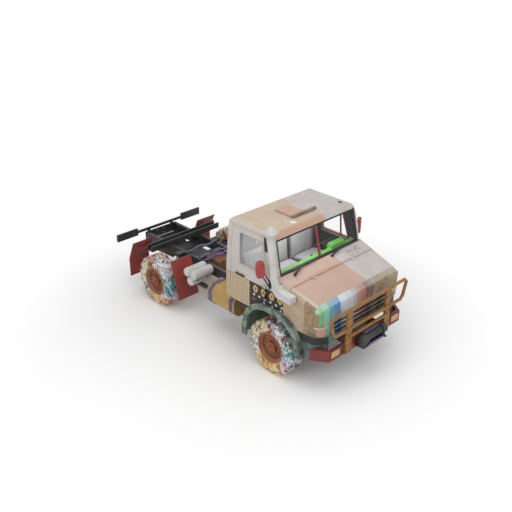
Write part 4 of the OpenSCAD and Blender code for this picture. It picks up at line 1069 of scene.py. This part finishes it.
foot_ring = turned([(0, 0), (0, 0.065), (0.010, 0.065), (0.010, 0.028), (0.024, 0.024), (0.024, 0)],
                   (0, 0, SPRING_FOOT), Z_AXIS, 28)
rubber_stop = turned([(0, 0), (0, 0.030), (0.014, 0.034), (0.028, 0.026), (0.042, 0.030), (0.056, 0.018),
                      (0.060, 0)], (0, 0, SPRING_TOP), (0, 0, -1), 20)
spring = joined(coil(SPRING_FOOT, SPRING_TOP, 0.056, 0.0085, 6.5), foot_ring, rubber_stop)
brackets = copies(plate(ORIGIN, (0.075, 0, 0), (0, 0.085, 0), (0, 0, 0.025), 14.0, 48),
                  [(x, 0.98 * y, SPRING_TOP) for x, y, _ in SPRING_PLACES])
make_piece("coil_springs", joined(copies(spring, SPRING_PLACES), brackets), black_paint, "chassis",
           ["springs"])


# %% Pipes behind the cab
def wavy_pipe(x, sway, lift, phase, bumps, radius=0.0225):
    """A pipe across the frame: x + sway sin(bumps t + phase), resting on the rails and rising between
    bumps; fine rings swell its radius."""
    t = np.linspace(0, 1, 90)
    ease, wave = np.sin(np.pi * t) ** 0.6, 2 * np.pi * bumps * t
    path = np.stack([x + sway * ease * np.sin(wave + phase), -0.385 + 0.77 * t,
                     0.9535 + lift * ease * (0.5 - 0.5 * np.cos(wave))], -1)
    return tube(path, radius * (1 + 0.06 * np.sin(2 * np.pi * 30 * t)), 12, (1, 0, 0.2))


pipes = joined(wavy_pipe(-1.490, 0.035, 0.014, 0.4, 1.6), wavy_pipe(-1.105, 0.022, 0.010, 1.9, 2.4),
               wavy_pipe(-0.965, 0.026, 0.012, 0.2, 2.1))
make_piece("wavy_air_pipes", pipes, purple_paint, "chassis", ["air_lines"])

# %% [markdown]
# ## Wheel nuts
# Ten nuts hold each wheel, in a ring on the dished disc, with a ring of small bolts round the hub cap.
# A nut is an outline turned with only six sides, which gives its flats; the whole ring is one shape
# copied to places worked out from sine and cosine.

# %% Nuts and hub bolts
DISC_Y, HUB_Y = 0.986 + 0.094, 0.986 + 0.141
NUT_RING, BOLT_RING = 0.162, 0.082
NUT_OUTLINE = [(-0.004, 0), (-0.004, 0.024), (0.004, 0.024), (0.006, 0.018), (0.022, 0.018),
               (0.026, 0.014), (0.026, 0.009), (0.036, 0.009), (0.038, 0)]
BOLT_OUTLINE = [(-0.003, 0), (-0.003, 0.011), (0.007, 0.011), (0.010, 0.008), (0.010, 0)]


def ring_places(centre, radius, count, start=0.0):
    """Places round an axis along Y: centre + radius (cos a, 0, sin a)."""
    a = circle(count) + start
    return np.asarray(centre, float) + radius * np.stack([np.cos(a), np.zeros(count), np.sin(a)], -1)


nut_steel = weathered("rusty_nut_steel", (168, 106, 76), (138, 82, 56), (0.45, 0.7), 30.0)
for wheel in WHEELS:
    x, out = AXLE_X if "front" in wheel else -AXLE_X, -1 if "right" in wheel else 1
    nuts = copies(turned(NUT_OUTLINE, ORIGIN, (0, out, 0), 6),
                  ring_places((x, out * DISC_Y, AXLE_Z), NUT_RING, 10))
    bolts = copies(turned(BOLT_OUTLINE, ORIGIN, (0, out, 0), 6),
                   ring_places((x, out * HUB_Y, AXLE_Z), BOLT_RING, 8, 0.3))
    make_piece(f"wheel_nuts_{wheel}", joined(nuts, bolts), nut_steel, f"wheel_{wheel}",
               smooth=False)

# %% [markdown]
# ## Doors, windows and mirrors
# Each door has a pull handle and a winder inside and a pale rubber round its window, and the left one
# a red frame with an upright bar that parts off its quarter light. The wall leans in towards the roof,
# so the rubber takes its distance from the middle of the truck by looking up each height in the cab's
# section.

# %% Window rubbers and door controls
SECTION_Z = [0.990, 1.260, 1.575, 1.935, 2.336, 2.492, 2.526]
SECTION_Y = [1.087, 1.097, 1.097, 1.073, 1.034, 1.000, 0.957]
DOOR_WINDOW = [(0.822, 1.800), (1.452, 1.800), (1.304, 2.352), (0.790, 2.352)]
SIDES = (("left", 1), ("right", -1))

pale_rubber = weathered("pale_window_rubber", (172, 168, 164), (150, 146, 140), (0.55, 0.75), 12.0)
trim_plastic = weathered("black_trim_plastic", (32, 32, 33), (48, 48, 48), (0.4, 0.6), 16.0)
outline = rounded_loop(DOOR_WINDOW, 0.035)
rubber_path = stood(outline, 1, np.interp(outline[:, 1], SECTION_Z, SECTION_Y) - 0.003)
window_rubber = hoop(rubber_path, 0.008, 8, Y_AXIS)
pull = tube([(0.92, 1.046, 1.49), (0.92, 1.0, 1.49), (0.94, 0.984, 1.49), (1.14, 0.984, 1.49),
             (1.16, 1.0, 1.49), (1.16, 1.046, 1.49)], 0.011, 10)
winder = joined(turned([(0, 0), (0, 0.030), (0.012, 0.028), (0.016, 0)], (1.27, 1.044, 1.40), (0, -1, 0), 20),
                tube([(1.27, 1.024, 1.40), (1.25, 1.016, 1.37), (1.215, 1.010, 1.325)], 0.008, 8),
                turned([(0, 0), (0, 0.012), (0.022, 0.015), (0.030, 0.010), (0.032, 0)],
                       (1.215, 1.012, 1.325), (0, -1, 0), 14))
controls = joined(pull, winder)
for side, out in SIDES:
    make_piece(f"window_rubber_{side}", (window_rubber[0] * (1, out, 1), window_rubber[1]), pale_rubber,
               f"door_{side}")
    make_piece(f"door_controls_{side}", (controls[0] * (1, out, 1), controls[1]), trim_plastic,
               f"door_{side}")

# %% Left window frame and rear window
red_bar = tube(np.linspace((1.262, 1.044, 1.797), (1.262, 0.998, 2.353), 6), 0.017, 12, X_AXIS)
red_frame = hoop(rubber_path - (0, 0.050, 0), 0.015, 10, Y_AXIS)
make_piece("window_frame_left", joined(red_bar, red_frame), red_paint, "door_left")
sill_trim = tube([(0.80, 1.026, 1.772), (1.10, 1.026, 1.772), (1.455, 1.026, 1.772)], 0.011, 10)
make_piece("window_sill_left", sill_trim, pale_rubber, "door_left")
rear_path = stood(rounded_box((-0.43, 1.85), (0.43, 2.29), 0.04), 0, 0.497)
make_piece("rear_window_rubber", hoop(rear_path, 0.009), rubber, "chassis")

# %% Mirror glass
MIRROR_TURN = np.radians(30)
MIRROR_HALF_W, MIRROR_HALF_H = 0.064, 0.142


def mirror_glass():
    """Silvered glass: nearly white metal with a faint cloud in its tint and hardly any roughness."""
    f = Finish("mirror_glass", 0.06, 1.0)
    tint = f.clouds((214, 218, 220), (196, 202, 204), 9, 3.0, spread=(0.4, 0.7))
    return f.done(tint, f.rough(f.grain(30), 0.03, 0.10))


silver = mirror_glass()
for side, out in SIDES:
    normal = np.array([np.cos(MIRROR_TURN), out * np.sin(MIRROR_TURN), 0])
    width = np.array([-np.sin(MIRROR_TURN), out * np.cos(MIRROR_TURN), 0])
    face = np.array([1.500, out * 1.258, 2.005]) - 0.030 * normal
    glass = plate(face, MIRROR_HALF_W * width, (0, 0, MIRROR_HALF_H), -0.004 * normal, 3.5, 48, 0.3)
    make_piece(f"mirror_glass_{side}", glass, silver, "chassis")

# %% [markdown]
# ## Driver's place
# The dash carries two round dials in its hood, and the floor a gear lever and three pedals. They are
# seen through the windscreen, so each has its rim, boot or rubber pad. A moulded shroud closes the
# steering column up to the hub of the wheel, which turns just clear of it.

# %% Dials
DIAL_X, DIAL_Y, DIAL_Z, DIAL_APART = 1.4625, 0.60, 1.830, 0.075
DIAL_AXIS = (-0.983, 0, -0.184)
TICKS = 24


def dial_face():
    """Black dial with pale marks round it: the angle about the dial's axis is split into repeats."""
    f = Finish("dial_face", 0.3)
    up = f.less(f.along("Z"), DIAL_Z)
    aside = f.less(f.size(f.less(f.along("Y"), DIAL_Y)), DIAL_APART)
    angle = f.ratio(f.math("ARCTAN2", up, aside), 2 * np.pi / TICKS)
    radius = f.math("SQRT", f.plus(f.times(up, up), f.times(aside, aside)))
    tick = f.times(f.over(f.size(f.less(f.math("FRACT", angle), 0.5)), 0.36), f.between(radius, 0.023, 0.031))
    black = f.blend(f.grain(40), (22, 22, 24), (34, 34, 36))
    return f.done(f.blend(tick, black, (222, 222, 218)), f.rough(f.grain(50), 0.2, 0.4))


dial_places = [(DIAL_X, DIAL_Y - DIAL_APART, DIAL_Z), (DIAL_X, DIAL_Y + DIAL_APART, DIAL_Z)]
dials = [turned([(0, 0), (0, 0.034), (0.003, 0.033), (0.004, 0)], place, DIAL_AXIS, 32)
         for place in dial_places]
bezels = [turned([(-0.004, 0.033), (0.006, 0.033), (0.009, 0.036), (0.006, 0.039), (-0.004, 0.039)],
                 place, DIAL_AXIS, 32) for place in dial_places]
make_piece("dial_faces", joined(*dials), dial_face(), "chassis")

# %% Lever, pedals and column shroud
LEVER_Y = 0.252
PEDAL_Y, THROTTLE_Y = (0.47, 0.60), 0.745
lever = tube([(1.300, LEVER_Y, 1.320), (1.296, LEVER_Y, 1.44), (1.280, LEVER_Y, 1.55),
              (1.268, LEVER_Y, 1.625)], [0.013, 0.012, 0.010, 0.009], 10, Y_AXIS)
knob = turned([(-0.030, 0), (-0.028, 0.014), (-0.008, 0.027), (0.012, 0.027), (0.026, 0.016), (0.030, 0)],
              (1.265, LEVER_Y, 1.645), Z_AXIS, 20)
boot = turned([(-0.02, 0.075), (0.012, 0.070), (0.030, 0.052), (0.045, 0.056), (0.060, 0.036), (0.075, 0.040),
               (0.095, 0.012)], (1.300, LEVER_Y, 1.338), Z_AXIS, 24)
pads = [plate((1.395, y, 1.437), (0, 0.042, 0), (0.02, 0, 0.048), (-0.012, 0, 0.004), 5.0, 28)
        for y in PEDAL_Y]
pads.append(plate((1.395, THROTTLE_Y, 1.440), (0, 0.030, 0), (0.02, 0, 0.056), (-0.012, 0, 0.004), 5.0, 28))
pedal_arms = [tube([(1.398, y, 1.445), (1.435, y, 1.52), (1.500, y, 1.60)], 0.009, 8, Y_AXIS)
              for y in (*PEDAL_Y, THROTTLE_Y)]
shroud = turned([(0.0446, 0), (0.0446, 0.033), (0.052, 0.037), (0.150, 0.043), (0.168, 0.040), (0.170, 0)],
                (1.26, 0.6, 1.8), (0.587785, 0, -0.809017), 28)
make_piece("driver_controls", joined(*bezels, lever, knob, boot, *pads, *pedal_arms, shroud), trim_plastic,
           "chassis")

# %% [markdown]
# ## Fasteners and beads
# Bolt heads hold the bumper, the bull bar's uprights and the wheel arch lips; the tank has rolled
# ends and the air tanks weld beads. Small parts like these give a truck its scale.

# %% Bolt heads
BUMPER_X, BAR_X, BAR_Y = 2.760, 2.794, 0.505
SMALL_BOLT = [(-0.004, 0), (-0.004, 0.013), (0.007, 0.012), (0.010, 0.008), (0.011, 0)]
bumper_bolts = [(BUMPER_X, y, z) for y in (-0.62, -0.40, 0.40, 0.62) for z in (0.72, 0.83)]
upright_bolts = [(BAR_X, s * (BAR_Y + d), z) for s in (-1, 1) for d in (-0.04, 0.04)
                 for z in (0.72, 0.84, 1.06, 1.34)]
make_piece("front_bolts", copies(turned(SMALL_BOLT, ORIGIN, X_AXIS, 6), bumper_bolts + upright_bolts),
           black_paint, "chassis", smooth=False)

# %% Wheel arch lips
ARCH_X, ARCH_LENGTH, ARCH_HEIGHT, ARCH_ROUNDING = 1.627, 0.685, 0.780, 2.6
LIP_BOLTS = 13


def arch_curve(grow, share):
    """Points on the wheel arch's rounded box curve: |x/a|^2.6 + |z/b|^2.6 = 1."""
    c, s = np.cos(np.pi * share), np.sin(np.pi * share)
    x = ARCH_X + (ARCH_LENGTH + grow) * np.sign(c) * np.abs(c) ** (2 / ARCH_ROUNDING)
    return np.stack([x, AXLE_Z + (ARCH_HEIGHT + grow) * np.abs(s) ** (2 / ARCH_ROUNDING)], -1)


lip_places = stood(arch_curve(-0.048, np.linspace(0.10, 0.93, LIP_BOLTS)), 1, -1.161)
lip_bolts = copies(turned(SMALL_BOLT, ORIGIN, (0, -1, 0), 6), lip_places)
make_piece("arch_bolts", mirrored(lip_bolts), fender_paint, "chassis", smooth=False)
edge_line = arch_curve(-0.092, np.linspace(0.055, 0.985, 80))
high, behind = edge_line[:, 1] > 0.625, (edge_line[:, 0] < ARCH_X) & (edge_line[:, 1] > 0.505)
beading = tube(stood(edge_line[high | behind], 1, -1.156), 0.007, 8, Y_AXIS)
make_piece("arch_beading", mirrored(beading), fender_paint, "chassis")

# %% Beads on the tanks
TANK_EDGE = np.array([(-0.890, 0.555), (-0.630, 0.555), (-0.520, 0.665), (-0.520, 0.870),
                      (-0.630, 0.980), (-0.890, 0.980), (-1.000, 0.870), (-1.000, 0.665)])
AIR_TANKS = ((-0.800, 0.960), (-0.610, 0.960), (-0.705, 0.802))
tank_roll_paint = weathered("tank_roll_paint", (196, 160, 96), (150, 112, 58), (0.35, 0.6), 9.0)
rolls = [hoop(stood(rounded_loop(TANK_EDGE, 0.03), 0, x), 0.006) for x in (-0.166, 0.566)]
make_piece("tank_rolled_ends", joined(*rolls), tank_roll_paint, "chassis")
weld = hoop(ring_places(ORIGIN, 0.0902, 40), 0.0035, 6, Y_AXIS)
beads = copies(weld, [(x, y, z) for x, z in AIR_TANKS for y in (-0.945, -0.555)])
make_piece("air_tank_beads", beads, grey_paint, "chassis")

# %% Lamp rims
lamp_rim = hoop(stood(rounded_box((0.681, 0.719), (0.905, 0.860), 0.018), 0, 2.762), 0.007)
make_piece("lamp_rims", mirrored(lamp_rim), trim_plastic, "chassis")
rear_rims = [hoop(stood(rounded_box((y, 0.924), (y + 0.145, 1.041), 0.015), 0, -2.957), 0.006)
             for y in (0.610, 0.770, 0.930)]
make_piece("rear_lamp_rims", mirrored(joined(*rear_rims)), trim_plastic, "chassis")

# %% [markdown]
# ## Winch, step and snorkel fittings
# The winch drum is ribbed, its motor case has a domed end and cooling ribs. The cab steps have raised
# tread bars, and two clamps hold the snorkel's tube.

# %% Winch ribs and step treads
WINCH_X, WINCH_Z = 2.862, 0.850


def winch_rings(radius, wire, sides, places):
    """Rings about the winch's axis, at places along it."""
    ring = hoop(ring_places(ORIGIN, radius, 48), wire, sides, Y_AXIS)
    return copies(ring, [(WINCH_X, y, WINCH_Z) for y in places])


drum_ribs = winch_rings(0.0645, 0.0055, 8, np.arange(-0.155, 0.232, 0.0118))
motor_ribs = winch_rings(0.0945, 0.0035, 6, (-0.262, -0.236, -0.210, -0.184))
motor_dome = turned([(-0.002, 0.0), (-0.002, 0.090), (0.010, 0.078), (0.018, 0.050), (0.021, 0.0)],
                    (WINCH_X, -0.285, WINCH_Z), (0, -1, 0), 36)
gear_dome = turned([(-0.002, 0.0), (-0.002, 0.085), (0.009, 0.074), (0.016, 0.048), (0.019, 0.0)],
                   (WINCH_X, 0.330, WINCH_Z), Y_AXIS, 36)
make_piece("winch_ribs", joined(drum_ribs, motor_ribs, motor_dome, gear_dome), black_paint, "chassis")
treads = [tube([(0.775, y, z), (1.017, y, z)], 0.005, 8) for y, z in ((1.060, 1.0268), (1.074, 1.0326))]
make_piece("step_treads", mirrored(joined(*treads)), trim_plastic, "chassis")

# %% Snorkel clamps
SNORKEL_TOP, SNORKEL_FOOT = np.array([1.572, -1.092, 2.520]), np.array([1.728, -1.162, 1.880])
CLAMP_OUTLINE = [(-0.014, 0.064), (-0.014, 0.0695), (0.014, 0.0695), (0.014, 0.064)]
down = SNORKEL_FOOT - SNORKEL_TOP
clamps = [turned(CLAMP_OUTLINE, SNORKEL_TOP + share * down, down, 40) for share in (0.10, 0.62)]
make_piece("snorkel_clamps", joined(*clamps), grey_paint, "chassis")

# %% [markdown]
# ## Sheet metal round the frame
# The tank hangs in broad straps, a sheet between the rails carries the rear lines, and deep side plates
# stiffen the rails over the rear springs. Inside the front wheel arches a liner runs on from the lip to
# the frame, along the same rounded curve, and an inner wall closes its upper part.

# %% Tank straps
def strap(inner, outer, start, end):
    """A flat hoop between two outlines in (y, z), from one x to another: four corners of the strip,
    carried round."""
    corners = [stood(inner, 0, start), stood(outer, 0, start), stood(outer, 0, end), stood(inner, 0, end)]
    return np.stack(corners, 1).reshape(-1, 3), grid_faces(len(inner), 4, True, True)


def grown_tank(by):
    """The tank's outline with every side moved out by a distance."""
    middle = TANK_EDGE.mean(0)
    return rounded_loop(middle + (TANK_EDGE - middle) * (1 + by / np.array([0.24, 0.2125])), 0.02)


straps = [strap(grown_tank(-0.004), grown_tank(0.0085), x - 0.039, x + 0.039) for x in (-0.084, 0.476)]
make_piece("broad_straps", joined(*straps), strap_paint, "chassis", smooth=False)

# %% Sheets between the rails
SHEET_Z = (0.742, 0.747)
sheets = [slab((-2.86, -2.36), (-0.392, 0.392), SHEET_Z), slab((-2.361, -2.219), (-0.391, 0.19), SHEET_Z),
          slab((-2.361, -2.219), (0.30, 0.391), SHEET_Z), slab((-2.22, -1.86), (-0.392, 0.392), SHEET_Z)]
side_plate = prism([(-2.66, 0.735), (-2.50, 0.625), (-1.98, 0.655), (-1.88, 0.735)], -0.398, -0.390, 1)
make_piece("frame_sheets", joined(*sheets, mirrored(side_plate)), black_paint, "chassis",
           smooth=False)

# %% Wheel arch liners
LINER_STEPS, LINER_OUT, LINER_IN = 60, -1.105, -0.440
along_arch = np.linspace(0.03, 0.998, LINER_STEPS)
curve_out, curve_in = arch_curve(-0.016, along_arch), arch_curve(-0.021, along_arch)
liner_corners = [stood(curve_out, 1, LINER_OUT), stood(curve_out, 1, LINER_IN),
                 stood(curve_in, 1, LINER_IN), stood(curve_in, 1, LINER_OUT)]
liner_ends = np.arange(4) + np.array([[0], [4 * (LINER_STEPS - 1)]])
liner = (np.stack(liner_corners, 1).reshape(-1, 3),
         np.concatenate([grid_faces(LINER_STEPS, 4, False, True), liner_ends]))
inner_wall = prism(curve_in[curve_in[:, 1] > 0.98], LINER_IN - 0.0055, LINER_IN - 0.0005, 1)
liner_paint = weathered("dark_liner_paint", (120, 134, 124), (96, 108, 100), (0.6, 0.8), 5.0)
make_piece("arch_liners", mirrored(joined(liner, inner_wall)), liner_paint, "chassis")

# %% [markdown]
# ## Bonnet seam and wipers
# The bonnet is hinged along its rear edge, and a rubber in the gap there takes on the paint of both
# sheets. Each wiper has an arm that tapers from its spindle towards the blade: a tube whose radius
# is given at three points.

# %% Bonnet seam and wiper arms
def seam_finish():
    """The bonnet's two tones, a little darker, for the seal in the gap behind it."""
    f = Finish("seam_rubber", 0.8)
    return f.done(f.blend(0.1, two_sheets(f), (110, 92, 82)), f.rough(f.grain(40), 0.6, 0.9))


make_piece("bonnet_seal", slab((1.9882, 1.9958), (-1.003, 1.003), (1.786, 1.7931)), seam_finish(), "chassis",
           smooth=False)
ARM_TAPER = [0.017, 0.014, 0.011]
arms = [tube([(1.791, -0.744, 1.846), (1.760, -0.640, 1.862), (1.712, -0.482, 1.874)], ARM_TAPER, 10),
        tube([(1.765, 0.209, 1.846), (1.742, 0.320, 1.862), (1.700, 0.511, 1.874)], ARM_TAPER, 10)]
make_piece("wiper_arms", joined(*arms), strip_black, "chassis")
